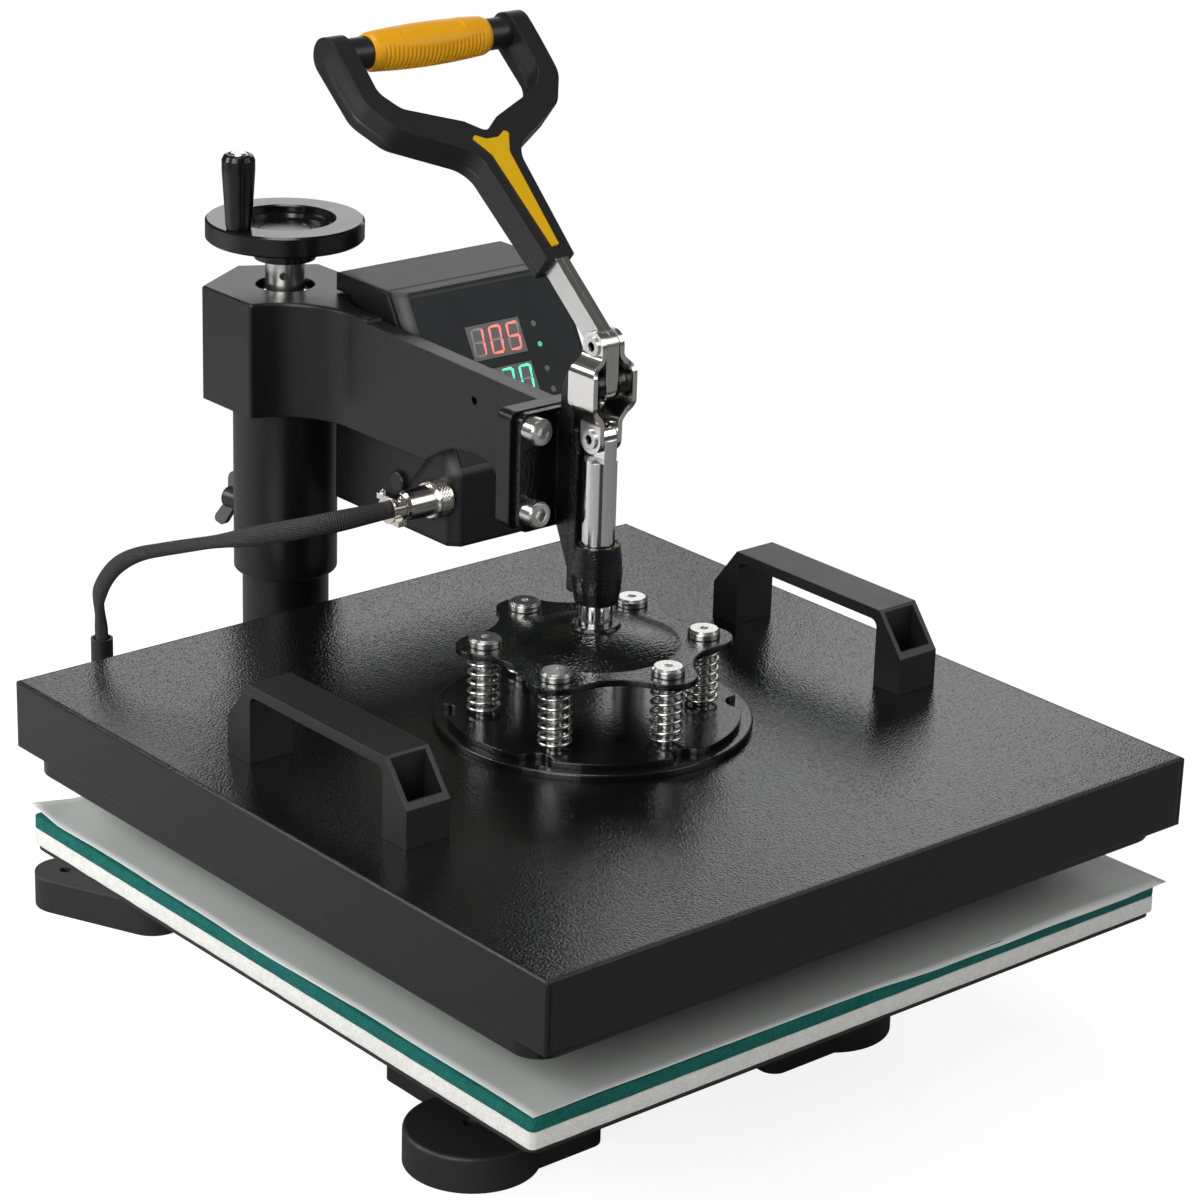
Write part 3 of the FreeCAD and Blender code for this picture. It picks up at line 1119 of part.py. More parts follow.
def panel_overlay():
    """Printed sheet stuck on the sloping panel, with clear places for windows, lamps and keys."""
    sheet = slope_patch(BOX_LEFT + 6, BOX_LEFT + BOX_W - 6, BOX_SILL + 3, BOX_TOP - 2.5, 0, OVERLAY_T, 1)
    cuts = []
    for low, high in WINDOW_ROWS:
        cuts.append(slope_patch(*WINDOW_X, low, high, -1, 3))
    for x in KEY_X:
        cuts.append(rod(KEY_R + APART, 4, slope_point(x, KEY_Z, -1), PANEL_OUT))
    for z in LAMP_Z:
        cuts.append(rod(LAMP_R, 4, slope_point(LAMP_X, z, -1), PANEL_OUT))
    return sheet.cut(cuts)


def display_windows():
    """Two display modules, each just below the face of the overlay."""
    return group([slope_patch(*WINDOW_X, low, high, -6, 6.1) for low, high in WINDOW_ROWS])


def indicator_lamps():
    return group([rod(LAMP_R, 6.2, slope_point(LAMP_X, z, -6), PANEL_OUT) for z in LAMP_Z])


def circuit_board():
    """Board parallel to the sloping panel, behind the displays and keys."""
    return slope_patch(BOX_LEFT + 14, BOX_LEFT + BOX_W - 14, BOX_SILL + 6, WINDOW_ROWS[1][1] + 4, -7.6, 1.6)


def panel_key(x):
    """Round key standing a little proud of the panel."""
    return rod(KEY_R, 4.6, slope_point(x, KEY_Z, -3.2), PANEL_OUT)


def blanking_plug():
    """Round cap over a spare hole in the side of the box."""
    cap = rod(5.8, 3, SPARE_HOLE_AT - RIGHT * 3, RIGHT)
    cap = cap.makeFillet(1.2, [e for e in cap.Edges if e.BoundBox.XMax < BOX_LEFT - 2.9])
    return cap.fuse(rod(5, BOX_WALL, SPARE_HOLE_AT, RIGHT)).removeSplitter()


def mains_inlet():
    """Recessed three-pin mains inlet on the back of the box."""
    x, y, z = INLET_AT
    body = block(x - 14, x + 14, y - 22, y, z - 10.5, z + 10.5)
    flange = block(x - 16, x + 16, y, y + 2, z - 12.5, z + 12.5)
    recess = block(x - 11.5, x + 11.5, y - 15, y + 3, z - 8, z + 8)
    pins = [block(x + dx - 1, x + dx + 1, y - 16, y - 3, z + dz - 2, z + dz + 2)
            for dx, dz in ((-7, -1.5), (0, 2.5), (7, -1.5))]
    return body.fuse(flange).removeSplitter().cut(recess).fuse(pins)


def power_rocker():
    """Rocker button on two stub axles, in its opening beside the inlet."""
    x, y, z = ROCKER_AT
    low, high = z - 9, z + 9
    profile = [(y - 4, low, 0), (y + 1.2, low, 0), (y + 0.4, z, 0), (y + 3.0, high, 0), (y - 4, high, 0)]
    axle = rod(1.5, 13.4, Vector(x - 6.7, y - 1, z), RIGHT)
    return side_prism(profile, x - 6, x + 6).fuse(axle).removeSplitter()


def panel_socket():
    """Round panel socket behind the plug."""
    return rod(5, 14, SOCKET_AT, RIGHT).fuse(rod(6.5, 3, SOCKET_AT + RIGHT * 2 * BOX_WALL, RIGHT)).removeSplitter()


def cable_plug():
    """Nickel plug: coupling ring, barrel and cable clamp, on one axis out of the box."""
    ring_r, barrel_r, clamp_r = 9.9, 7.8, 6.9
    points = [(0, 0), (ring_r, 0), (ring_r, 8), (ring_r - 1, 9), (barrel_r, 9), (barrel_r, 24), (barrel_r - 1, 26),
              (clamp_r - 1, 26), (clamp_r - 1, 27), (clamp_r, 27), (clamp_r, 34), (0, 34)]
    body = turned(points, SOCKET_AT, RIGHT * -1)
    ridges = []
    for i in range(24):
        a = math.radians(15 * i)
        at = SOCKET_AT + Vector(-1.5, ring_r * math.cos(a), ring_r * math.sin(a))
        ridges.append(rod(0.45, 5, at, RIGHT * -1))
    bars = []
    for side in (-1, 1):
        bars.append(block(SOCKET_AT.x - 33.5, SOCKET_AT.x - 28.5, SOCKET_AT.y - clamp_r - 2, SOCKET_AT.y + clamp_r + 2,
                          SOCKET_AT.z + side * 5.2 - 1.5, SOCKET_AT.z + side * 5.2 + 1.5))
    return body.cut(ridges).fuse(bars)


# Heater cable


def tube_along(points, radius):
    """Round tube on straight runs joined by tangent arcs, as large as the runs allow."""
    cut_in = []
    for i in range(1, len(points) - 1):
        before, here, after = points[i - 1], points[i], points[i + 1]
        shorter = min((here - before).Length, (after - here).Length)
        turn = (here - before).getAngle(after - here)
        cut_in.append((0.45 * shorter, 0.45 * shorter / math.tan(turn / 2)))
    edges = []
    start = points[0]
    for i in range(1, len(points) - 1):
        here = points[i]
        back_way = (points[i - 1] - here).normalize()
        on_way = (points[i + 1] - here).normalize()
        reach, bend = cut_in[i - 1]
        first, last = here + back_way * reach, here + on_way * reach
        middle = (back_way + on_way).normalize()
        dip = math.hypot(bend, reach) - bend
        edges.append(Part.LineSegment(start, first).toShape())
        edges.append(Part.Arc(first, here + middle * dip, last).toShape())
        start = last
    edges.append(Part.LineSegment(start, points[-1]).toShape())
    path = Part.Wire(edges)
    section = Part.Wire(Part.makeCircle(radius, points[0], points[1] - points[0]))
    tube = path.makePipeShell([section], True, False)
    print("cable radii", [round(bend, 1) for reach, bend in cut_in])
    print("cable volume over section times length", round(tube.Volume / (math.pi * radius ** 2 * path.Length), 4))
    return tube


def cable_route():
    """From the plug's clamp, past the column, down behind the cover and into its gland."""
    start = SOCKET_AT - RIGHT * 34
    end = gland_place() + BACK * ELBOW_REACH + UP * (ELBOW_RISE - CABLE_IN)
    return [start, start + Vector(-29, 0, 0), start + Vector(-51, 30.5, -11), start + Vector(-79, 62.5, -20.5),
            end + Vector(2.5, -16, 50.7), end + Vector(-5, -4, 30.7), end + Vector(0, 0, 12.2), end]


def heater_cable():
    return tube_along(cable_route(), CABLE_R)


NODES = {
    "base_casting": base_casting, "pad_plate": pad_plate, "pad_plate_screws": pad_plate_screws,
    "felt_pad": felt_pad, "silicone_pad": silicone_pad, "release_sheet": release_sheet,
    "column_tube": column_tube, "lift_nut": lift_nut,
    "thrust_tube": thrust_tube,
    "handwheel": handwheel, "shaft_collar": shaft_collar, "collar_set_screw": collar_set_screw,
    "lift_screw": lift_screw, "crank_screw": crank_screw, "crank_knob": crank_knob,
    "arm_casting": arm_casting, "column_sleeve": column_sleeve, "bracket_casting": bracket_casting,
    "bracket_bolts": bracket_bolts, "guide_bush": guide_bush, "fulcrum_pin": fulcrum_pin,
    "lock_knob": lock_knob,
    "box_housing": box_housing, "box_cover": box_cover, "panel_overlay": panel_overlay,
    "display_windows": display_windows, "indicator_lamps": indicator_lamps, "circuit_board": circuit_board,
    "panel_socket": panel_socket, "cable_plug": cable_plug, "blanking_plug": blanking_plug,
    "mains_inlet": mains_inlet, "power_rocker": power_rocker,
    "lever_plates": lever_plates, "handle_frame": handle_frame, "handle_inlay": inlay_solid,
    "grip_bar": grip_bar, "grip_sleeve": grip_sleeve, "link_plates": link_plates, "link_pins": link_pins,
    "press_shaft": press_shaft, "pressure_plate": pressure_plate, "pressure_springs": pressure_springs,
    "spring_screws": spring_screws, "bayonet_plate": bayonet_plate, "mount_disc": mount_disc,
    "platen_cover": platen_cover, "heat_plate": heat_plate, "heater_element": heater_element,
    "insulation": insulation, "stand_offs": stand_offs, "carry_handle_screws": carry_handle_screws,
    "cable_gland": cable_gland, "heater_cable": heater_cable,
}


def save(name, shape):
    solids = shape.Solids
    whole = solids[0] if len(solids) == 1 else Part.makeCompound(solids)
    whole.exportStep("parts/" + name + ".step")
    box = whole.BoundBox
    print(name, len(solids), "solids, valid", all(s.isValid() for s in solids), "volume", round(whole.Volume),
          "z", round(box.ZMin, 1), round(box.ZMax, 1))


for node, make in NODES.items():
    save(node, make())
for node, x in zip(("key_set", "key_down", "key_up"), KEY_X):
    save(node, panel_key(x))
save("carry_handle_right", carry_handle())
save("carry_handle_left", mirrored(carry_handle()))

travel = math.radians(LEVER_TRAVEL)
drop = CRANK_ARM * math.cos(travel) - math.sqrt(LINK_LENGTH ** 2 - (CRANK_ARM * math.sin(travel)) ** 2)
print("shaft travel", round(CRANK_ARM - LINK_LENGTH - drop, 3), "mm, link turn",
      round(math.degrees(math.asin(CRANK_ARM * math.sin(travel) / LINK_LENGTH)), 3), "degrees")
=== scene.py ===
# %% [markdown]
# # A combo heat press
# A bench press for transfers: a padded table, a heated platen that a toggle lever presses down,
# and an arm that swings the platen aside on a column. The solids come from the CAD model, already
# in place. Here they get their finishes, and the soft, wound and printed pieces are made.

# %% Open the CAD model
import math

import bmesh
import bpy
from mathutils import Matrix, Vector, noise


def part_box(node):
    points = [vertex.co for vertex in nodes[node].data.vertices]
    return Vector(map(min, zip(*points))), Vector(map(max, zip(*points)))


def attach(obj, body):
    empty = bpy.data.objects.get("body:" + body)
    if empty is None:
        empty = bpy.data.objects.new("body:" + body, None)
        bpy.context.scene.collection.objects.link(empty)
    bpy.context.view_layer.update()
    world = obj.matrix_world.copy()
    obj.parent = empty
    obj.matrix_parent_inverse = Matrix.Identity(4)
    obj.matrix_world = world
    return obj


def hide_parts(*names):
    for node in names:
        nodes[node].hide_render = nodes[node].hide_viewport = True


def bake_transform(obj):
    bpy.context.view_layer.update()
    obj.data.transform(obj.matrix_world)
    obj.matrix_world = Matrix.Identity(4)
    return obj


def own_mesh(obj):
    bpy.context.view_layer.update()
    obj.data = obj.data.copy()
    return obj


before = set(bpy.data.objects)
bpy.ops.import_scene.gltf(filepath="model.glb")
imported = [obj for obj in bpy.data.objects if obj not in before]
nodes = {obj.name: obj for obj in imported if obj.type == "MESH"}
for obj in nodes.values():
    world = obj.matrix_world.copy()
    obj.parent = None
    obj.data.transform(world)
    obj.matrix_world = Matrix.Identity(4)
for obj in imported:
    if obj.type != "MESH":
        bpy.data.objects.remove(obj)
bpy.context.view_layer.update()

# %% [markdown]
# ## Camera
# The picture was taken from the front left, about 21 degrees above the bench, with a long lens that
# keeps the edges of the platen nearly parallel. The camera is placed by three turns: round the
# object, up from the bench, and a small roll.

# %% Camera
AZIMUTH = -40.88
ELEVATION = 20.77
ROLL = 1.76
CAMERA_AT = (-1.0469, -1.3302, 0.8402)
FOCAL_PIXELS, PHOTO_PIXELS, SENSOR = 3680, 1200, 36
camera_data = bpy.data.cameras.new("camera")
camera_data.lens = FOCAL_PIXELS / PHOTO_PIXELS * SENSOR
camera = bpy.data.objects.new("camera", camera_data)
bpy.context.scene.collection.objects.link(camera)
turn = Matrix.Rotation(math.radians(AZIMUTH), 4, "Z") @ Matrix.Rotation(math.radians(90 - ELEVATION), 4, "X")
camera.matrix_world = Matrix.Translation(CAMERA_AT) @ turn @ Matrix.Rotation(math.radians(ROLL), 4, "Z")
bpy.context.scene.camera = camera
bpy.context.scene.view_settings.view_transform = "Standard"
print("lens", round(camera_data.lens, 1), "mm")

# %% [markdown]
# ## Finishes
# Every finish is worked out from the place of each point on the piece, so it needs no pictures.
# A small class wraps a socket of the shader, so that the maths reads as plain sums.


# %% Shader sums
class Value:
    """A socket that can be added, multiplied and compared like a number."""

    def __init__(self, finish, socket):
        self.finish = finish
        self.socket = socket

    def sum(self, operation, first, second=0.0):
        return self.finish.node("ShaderNodeMath", {"operation": operation}, {0: first, 1: second})

    def __add__(self, other):
        return self.sum("ADD", self, other)

    def __radd__(self, other):
        return self.sum("ADD", other, self)

    def __sub__(self, other):
        return self.sum("SUBTRACT", self, other)

    def __mul__(self, other):
        return self.sum("MULTIPLY", self, other)

    def sine(self):
        return self.sum("SINE", self)

    def above(self, limit):
        return self.sum("GREATER_THAN", self, limit)

    def size(self):
        return self.sum("ABSOLUTE", self)


# %% [markdown]
# A finish is one material. Its node method makes any node from a type, its settings and its
# inputs, and the other methods are the few patterns that many finishes share.


# %% A finish
class Finish:
    """One material, with its Principled shader and the nodes that feed it."""

    def __init__(self, name, colour, roughness, **more):
        self.material = bpy.data.materials.new(name)
        self.material.use_nodes = True
        self.tree = self.material.node_tree
        self.tree.nodes.clear()
        self.output = self.tree.nodes.new("ShaderNodeOutputMaterial")
        self.shader = self.tree.nodes.new("ShaderNodeBsdfPrincipled")
        self.tree.links.new(self.shader.outputs[0], self.output.inputs["Surface"])
        self.set({"Base Color": (*colour, 1.0), "Roughness": roughness})
        self.set({key.replace("_", " "): value for key, value in more.items()})

    def set(self, inputs, made=None):
        made = made or self.shader
        for name, value in inputs.items():
            socket = made.inputs[name]
            if isinstance(value, Value):
                self.tree.links.new(value.socket, socket)
            else:
                socket.default_value = value

    def node(self, kind, settings=None, inputs=None, output=0):
        made = self.tree.nodes.new(kind)
        for name, value in (settings or {}).items():
            setattr(made, name, value)
        self.set(inputs or {}, made)
        return Value(self, made.outputs[output])

    def place(self):
        """Where a point of the piece lies, in metres."""
        return self.node("ShaderNodeTexCoord", output=3)

    def noise(self, size, detail=2.0):
        """Soft noise whose blobs are about size metres across."""
        inputs = {"Vector": self.place(), "Scale": 1 / size, "Detail": detail}
        return self.node("ShaderNodeTexNoise", {}, inputs)

    def mix(self, share, first, second):
        """A colour part of the way from the first to the second."""
        inputs = {0: share, 6: (*first, 1.0), 7: (*second, 1.0)}
        return self.node("ShaderNodeMix", {"data_type": "RGBA"}, inputs, output=2)

    def bump(self, height, distance, edge=0.0):
        """Height bends the surface by up to distance, and edges look rounded by the radius edge."""
        inputs = {"Height": height, "Distance": distance}
        if edge:
            inputs["Normal"] = self.node("ShaderNodeBevel", {"samples": 4}, {"Radius": edge})
        self.set({"Normal": self.node("ShaderNodeBump", {}, inputs)})


print("shader helpers ready")

# %% [markdown]
# ### Black powder coat
# The castings and sheet parts are black and shine softly. Powder coat flows into tiny hills like
# the skin of an orange, so a fine noise bends the surface and the highlights break up.


# %% Powder coat
def powder_coat(name, colour, roughness, grain, depth, edge=0.0012, upright=1.0):
    """Black coat with hills grain metres apart and depth metres high, lower on upright faces."""
    coat = Finish(name, colour, roughness)
    broad = coat.noise(0.05)
    coat.set({"Roughness": roughness - 0.015 + broad * 0.03})
    facing = coat.node("ShaderNodeSeparateXYZ", {}, {0: coat.node("ShaderNodeNewGeometry", output=1)}, output=2)
    hills = coat.noise(grain, 1.5) * (facing.above(0.5) * (1 - upright) + upright)
    coat.bump(hills, depth, edge)
    return coat.material


casting_black = powder_coat("casting_black", (0.0025, 0.0025, 0.0025), 0.33, 0.0016, 0.00007)
base_black = powder_coat("base_black", (0.011, 0.011, 0.011), 0.5, 0.0012, 0.0001)
cover_black = powder_coat("cover_black", (0.0035, 0.0035, 0.0035), 0.15, 0.0012, 0.00022, 0.0025, 0.12)
plate_black = powder_coat("plate_black", (0.0035, 0.0035, 0.0035), 0.17, 0.002, 0.0001)
star_black = powder_coat("star_black", (0.0035, 0.0035, 0.0035), 0.14, 0.0014, 0.0003)
bracket_black = powder_coat("bracket_black", (0.0035, 0.0035, 0.0035), 0.15, 0.0013, 0.0003)
box_black = powder_coat("box_black", (0.007, 0.007, 0.007), 0.42, 0.0009, 0.00005, 0.004)
print("powder coats made")

# %% [markdown]
# ### Metals
# Chrome is nearly a mirror. Zinc plate and the nickel of the cable plug are duller, with a faint
# cloudiness in their shine.


# %% Metals
def metal(name, colour, roughness, cloud=0.06, fine=0.00002):
    made = Finish(name, colour, roughness, Metallic=1.0)
    made.set({"Roughness": roughness - cloud / 2 + made.noise(0.006) * cloud})
    made.bump(made.noise(0.0006), fine, 0.0003)
    return made.material


chrome = metal("chrome", (0.82, 0.82, 0.83), 0.09, 0.03, 0.000003)
zinc = metal("zinc", (0.72, 0.72, 0.71), 0.26)
nickel = metal("nickel", (0.78, 0.75, 0.68), 0.2)
dark_steel = metal("dark_steel", (0.07, 0.07, 0.07), 0.45)
bronze = metal("bronze", (0.36, 0.23, 0.11), 0.45)
print("metals made")

# %% [markdown]
# ### Plastics, film and lamps
# The handle, knobs and carrying handles are moulded black plastic with a fine grain. The panel is a
# matte printed film, and the display windows are dark gloss.


# %% Plastics
def plastic(name, colour, roughness, grain=0.0005, depth=0.00002, edge=0.0006, shine=0.5):
    made = Finish(name, colour, roughness, Specular_IOR_Level=shine)
    made.set({"Roughness": roughness - 0.04 + made.noise(0.02) * 0.08})
    made.bump(made.noise(grain), depth, edge)
    return made.material


black_plastic = plastic("black_plastic", (0.010, 0.010, 0.0105), 0.4)
knob_plastic = plastic("knob_plastic", (0.004, 0.004, 0.004), 0.2, 0.004, 0.000002, 0.0)
yellow_plastic = plastic("yellow_plastic", (0.62, 0.36, 0.003), 0.42, shine=0.3)
film = plastic("film", (0.0045, 0.0062, 0.0068), 0.45, 0.0003, 0.000008, shine=0.3)
window = plastic("window", (0.06, 0.055, 0.055), 0.2, 0.003, 0.000004)
key_grey = plastic("key_grey", (0.35, 0.36, 0.37), 0.4)
board_green = plastic("board_green", (0.02, 0.12, 0.05), 0.4)
lamp_off = plastic("lamp_off", (0.05, 0.06, 0.055), 0.25)
mineral_wool = plastic("mineral_wool", (0.7, 0.66, 0.55), 0.95, 0.002, 0.0004)
print("plastics made")

# %% Which finish each CAD node gets
FINISH_OF = {
    casting_black: ["column_tube", "arm_casting", "column_sleeve"],
    base_black: ["base_casting", "pad_plate"],
    star_black: ["pressure_plate"],
    cover_black: ["platen_cover"],
    bracket_black: ["bracket_casting"],
    box_black: ["box_housing", "box_cover"],
    chrome: ["press_shaft", "thrust_tube", "panel_socket"],
    zinc: ["bracket_bolts", "fulcrum_pin", "lift_screw", "crank_screw", "lever_plates", "link_pins",
           "shaft_collar", "spring_screws", "carry_handle_screws", "pad_plate_screws", "stand_offs"],
    nickel: ["cable_plug"],
    dark_steel: ["collar_set_screw", "heater_element"],
    bronze: ["guide_bush", "lift_nut"],
    plate_black: ["bayonet_plate", "mount_disc", "heat_plate"],
    black_plastic: ["grip_bar", "carry_handle_left", "carry_handle_right", "blanking_plug", "mains_inlet",
                    "power_rocker", "cable_gland", "lock_knob"],
    knob_plastic: ["handwheel", "crank_knob"],
    yellow_plastic: ["handle_inlay"],
    film: ["panel_overlay"],
    window: ["display_windows"],
    key_grey: ["key_set", "key_up", "key_down"],
    board_green: ["circuit_board"],
    lamp_off: ["indicator_lamps"],
    mineral_wool: ["insulation"],
}
for finish, names in FINISH_OF.items():
    for name in names:
        for material_slot in nodes[name].material_slots:
            material_slot.material = finish
print("finishes given to", sum(len(names) for names in FINISH_OF.values()), "nodes")

# %% [markdown]
# ## Helpers for modelled pieces
# Soft, wound and printed pieces are modelled here with mesh operators. Each one starts as a simple
# shape, gets its form from a few operators, and is then handed over as a piece of the scene. Sizes
# are in metres unless a note says millimetres. The shaft stands on the middle plane, at PRESS_Y.


# %% Helpers
PRESS_Y = -0.118


def new_piece(bm, name, material, smooth=True):
    """Turns the modelled shape into a piece of the scene."""
    bmesh.ops.recalc_face_normals(bm, faces=bm.faces)
    mesh = bpy.data.meshes.new(name)
    bm.to_mesh(mesh)
    bm.free()
    for face in mesh.polygons:
        face.use_smooth = smooth
    mesh.materials.append(material)
    piece = bpy.data.objects.new(name, mesh)
    bpy.context.scene.collection.objects.link(piece)
    return piece


def bevel(bm, edges, width, segments=2):
    bmesh.ops.bevel(bm, geom=edges, offset=width, offset_type="OFFSET", segments=segments, profile=0.5,
                    affect="EDGES", material=-1, clamp_overlap=True)


def points_of(geom):
    return [g for g in geom if isinstance(g, bmesh.types.BMVert)]


def cut_across(bm, axis, places):
    """Cuts the whole shape at each of the places along one axis."""
    for at in places:
        spot, normal = Vector(), Vector()
        spot[axis], normal[axis] = at, 1
        geom = bm.verts[:] + bm.edges[:] + bm.faces[:]
        bmesh.ops.bisect_plane(bm, geom=geom, plane_co=spot, plane_no=normal, dist=1e-6)


def cut_in_strips(bm, axis, step):
    """Cuts the shape across one axis into strips step metres wide, so that its faces can bend."""
    places = [v.co[axis] for v in bm.verts]
    low, high = min(places), max(places)
    count = max(2, round((high - low) / step))
    cut_across(bm, axis, [low + (high - low) * i / count for i in range(1, count)])


def ease(low, high, value):
    """0 below low, 1 above high, smooth between."""
    part = min(1.0, max(0.0, (value - low) / (high - low)))
    return part * part * (3 - 2 * part)


def spun_sleeve(line, centre, steps):
    """A row of points, spun into an open sleeve round the sideways axis through the centre."""
    bm = bmesh.new()
    verts = [bm.verts.new(at) for at in line]
    for one, following in zip(verts, verts[1:]):
        bm.edges.new((one, following))
    bmesh.ops.spin(bm, geom=bm.verts[:] + bm.edges[:], cent=centre, axis=(1, 0, 0), dvec=(0, 0, 0),
                   angle=math.tau, steps=steps, use_merge=True)
    bmesh.ops.remove_doubles(bm, verts=bm.verts, dist=1e-6)
    return bm


def set_radii(verts, centre, radius_at):
    """Moves points off the sideways axis through the centre, to the radius for place and direction."""
    for vert in verts:
        away = vert.co - centre
        x, away.x = away.x, 0
        away.normalize()
        vert.co = centre + Vector((x, 0, 0)) + away * radius_at(x, away)


def turn_in_rims(bm, centre, radius):
    """Gives both open ends of a sleeve a lip that reaches in to the radius."""
    rims = [e for e in bm.edges if len(e.link_faces) == 1]
    lips = bmesh.ops.extrude_edge_only(bm, edges=rims)["geom"]
    set_radii(points_of(lips), centre, lambda x, away: radius)


print("helpers ready")

# %% [markdown]
# ## The heater cable
# A braided sleeve leaves the plug on the control box, sags past the column and turns down behind
# the platen into an elbow. The route is a few points, and a smooth spline goes between them. The
# sleeve is loose round its wires, so it is a flat band that twists: oval rings are set along the
# spline, each a little turned and resized, and bridged into a tube.

# %% Cable route
CABLE_ROUTE = [
    (-0.021, 0.0155, 0.243), (-0.05, 0.0155, 0.243), (-0.072, 0.046, 0.232), (-0.1, 0.078, 0.2225),
    (-0.122, 0.095, 0.217), (-0.1295, 0.107, 0.197), (-0.1245, 0.111, 0.1785), (-0.1245, 0.111, 0.1663),
]


def spline_points(route, resolution):
    """Points along the smooth curve that the route's points steer."""
    curve = bpy.data.curves.new("route", "CURVE")
    curve.dimensions = "3D"
    curve.resolution_u = resolution
    spline = curve.splines.new("NURBS")
    spline.points.add(len(route) - 1)
    for point, at in zip(spline.points, route):
        point.co = (*at, 1)
    spline.order_u = 3
    spline.use_endpoint_u = True
    holder = bpy.data.objects.new("route", curve)
    bpy.context.scene.collection.objects.link(holder)
    bpy.context.view_layer.update()
    mesh = bpy.data.meshes.new_from_object(holder)
    points = [vertex.co.copy() for vertex in mesh.vertices]
    bpy.data.objects.remove(holder)
    bpy.data.meshes.remove(mesh)
    return points


cable_path = spline_points(CABLE_ROUTE, 24)

# %% Oval tube
CABLE_SEGMENTS = 24
# Share of the length, half width and half thickness in metres, and turn in degrees.
CABLE_SHAPE = [(0.0, 0.0046, 0.0040, 0), (0.1, 0.0054, 0.0043, 0), (0.24, 0.0052, 0.0034, 12),
               (0.36, 0.0038, 0.0026, 70), (0.48, 0.0036, 0.0027, 50), (0.62, 0.0042, 0.0028, 20),
               (0.74, 0.0041, 0.0025, 20), (0.86, 0.0036, 0.0026, 70), (0.95, 0.0033, 0.0033, 60),
               (1.0, 0.0033, 0.0033, 60)]


def between(table, share):
    """Values part of the way down a table, eased between its rows."""
    for row, following in zip(table, table[1:]):
        if share <= following[0]:
            part = ease(row[0], following[0], share)
            return [a + (b - a) * part for a, b in zip(row[1:], following[1:])]
    return table[-1][1:]


def oval_tube(path, table):
    """Oval rings along a path, bridged into a closed tube."""
    bm = bmesh.new()
    before = (path[1] - path[0]).normalized()
    turned = Vector((0, 0, 1)).rotation_difference(before)
    rings = []
    for i, at in enumerate(path):
        ahead = (path[min(i + 1, len(path) - 1)] - path[max(i - 1, 0)]).normalized()
        turned = before.rotation_difference(ahead) @ turned
        before = ahead
        wide, thick, twist = between(table, i / (len(path) - 1))
        place = Matrix.Translation(at) @ turned.to_matrix().to_4x4() @ Matrix.Rotation(math.radians(twist), 4, "Z")
        place = place @ Matrix.Diagonal((wide, thick, 1, 1))
        rings.append(bmesh.ops.create_circle(bm, segments=CABLE_SEGMENTS, radius=1, matrix=place)["verts"])
    for ring, following in zip(rings, rings[1:]):
        members = set(ring) | set(following)
        edges = {e for v in members for e in v.link_edges if e.other_vert(v) in members and not e.link_faces}
        edges |= {e for v in ring for e in v.link_edges if e.other_vert(v) in set(ring)}
        bmesh.ops.bridge_loops(bm, edges=list(edges))
    for ring in (rings[0], rings[-1]):
        bmesh.ops.contextual_create(bm, geom=ring)
    return bm


def map_round_and_along(bm, count):
    """A map for a tube of count rings: its first number goes round, its second along."""
    bm.verts.index_update()
    layer = bm.loops.layers.uv.new("sleeve")
    for face in bm.faces:
        columns = [loop.vert.index % CABLE_SEGMENTS for loop in face.loops]
        wraps = max(columns) - min(columns) > CABLE_SEGMENTS / 2
        for loop, column in zip(face.loops, columns):
            column += CABLE_SEGMENTS if wraps and column < CABLE_SEGMENTS / 2 else 0
            loop[layer].uv = (column / CABLE_SEGMENTS, loop.vert.index // CABLE_SEGMENTS / count)


# %% [markdown]
# The sleeve is woven from black threads that cross in two slanting directions. Two sine waves, one
# round and along, the other round and back, give the crossing threads as height, and as painted shade:
# the colour is darker in the gaps between threads and lighter where they rise.

# %% Woven sleeve
braid = Finish("braid", (0.013, 0.013, 0.013), 0.6)
sleeve_map = braid.node("ShaderNodeUVMap", {"uv_map": "sleeve"})
round_it = braid.node("ShaderNodeSeparateXYZ", {}, {0: sleeve_map})
along_it = Value(braid, round_it.socket.node.outputs[1])
THREADS = 16 * math.tau
CROSSINGS = 700
one_way = (round_it * THREADS + along_it * CROSSINGS).sine()
other_way = (round_it * THREADS - along_it * CROSSINGS).sine()
weave = one_way * other_way
# Painted shade: darker where the threads sink and lighter where they rise, plus a little random tone from the noise.
painted_thread_shade = weave * 0.4 + 0.4 + braid.noise(0.003) * 0.3
braid.set({"Base Color": braid.mix(painted_thread_shade, (0.006, 0.006, 0.006), (0.04, 0.04, 0.04))})
braid.bump(weave + braid.noise(0.0012) * 0.8, 0.0002)
cable_bm = oval_tube(cable_path, CABLE_SHAPE)
map_round_and_along(cable_bm, len(cable_path))
cable = new_piece(cable_bm, "heater_lead", braid.material)
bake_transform(cable)
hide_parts("heater_cable")
print("cable faces", len(cable.data.polygons))

# %% [markdown]
# ## The plug's knurl and clamp screws
# Fingers grip the plug by a ring with crossed grooves. A line is spun into a thin sleeve round the
# ring, and its points are lifted where two slanting waves both rise, which leaves small diamonds.
# Two screws with slotted heads pull the cable clamp together.

# %% Knurled ring
PLUG_END = Vector((0.013, 0.0155, 0.243))
RING_R, RING_FROM, RING_TO = 0.00985, 0.0008, 0.0074
RING_RIM = 0.0006
DIAMONDS, DIAMOND_H, RING_ROWS, RING_STEPS = 34, 0.0003, 22, 204


def knurl_radius(x, away):
    """Radius of the ring where the two waves, round and along it, cross."""
    round_at, along_at = DIAMONDS * math.atan2(away.z, away.y), DIAMONDS * x / RING_R
    lifted = math.sin((round_at + along_at) / 2) ** 2 * math.sin((round_at - along_at) / 2) ** 2
    off_rim = ease(RING_FROM, RING_FROM + RING_RIM, -x) * ease(-RING_TO, -RING_TO + RING_RIM, x)
    return RING_R + DIAMOND_H * lifted * off_rim


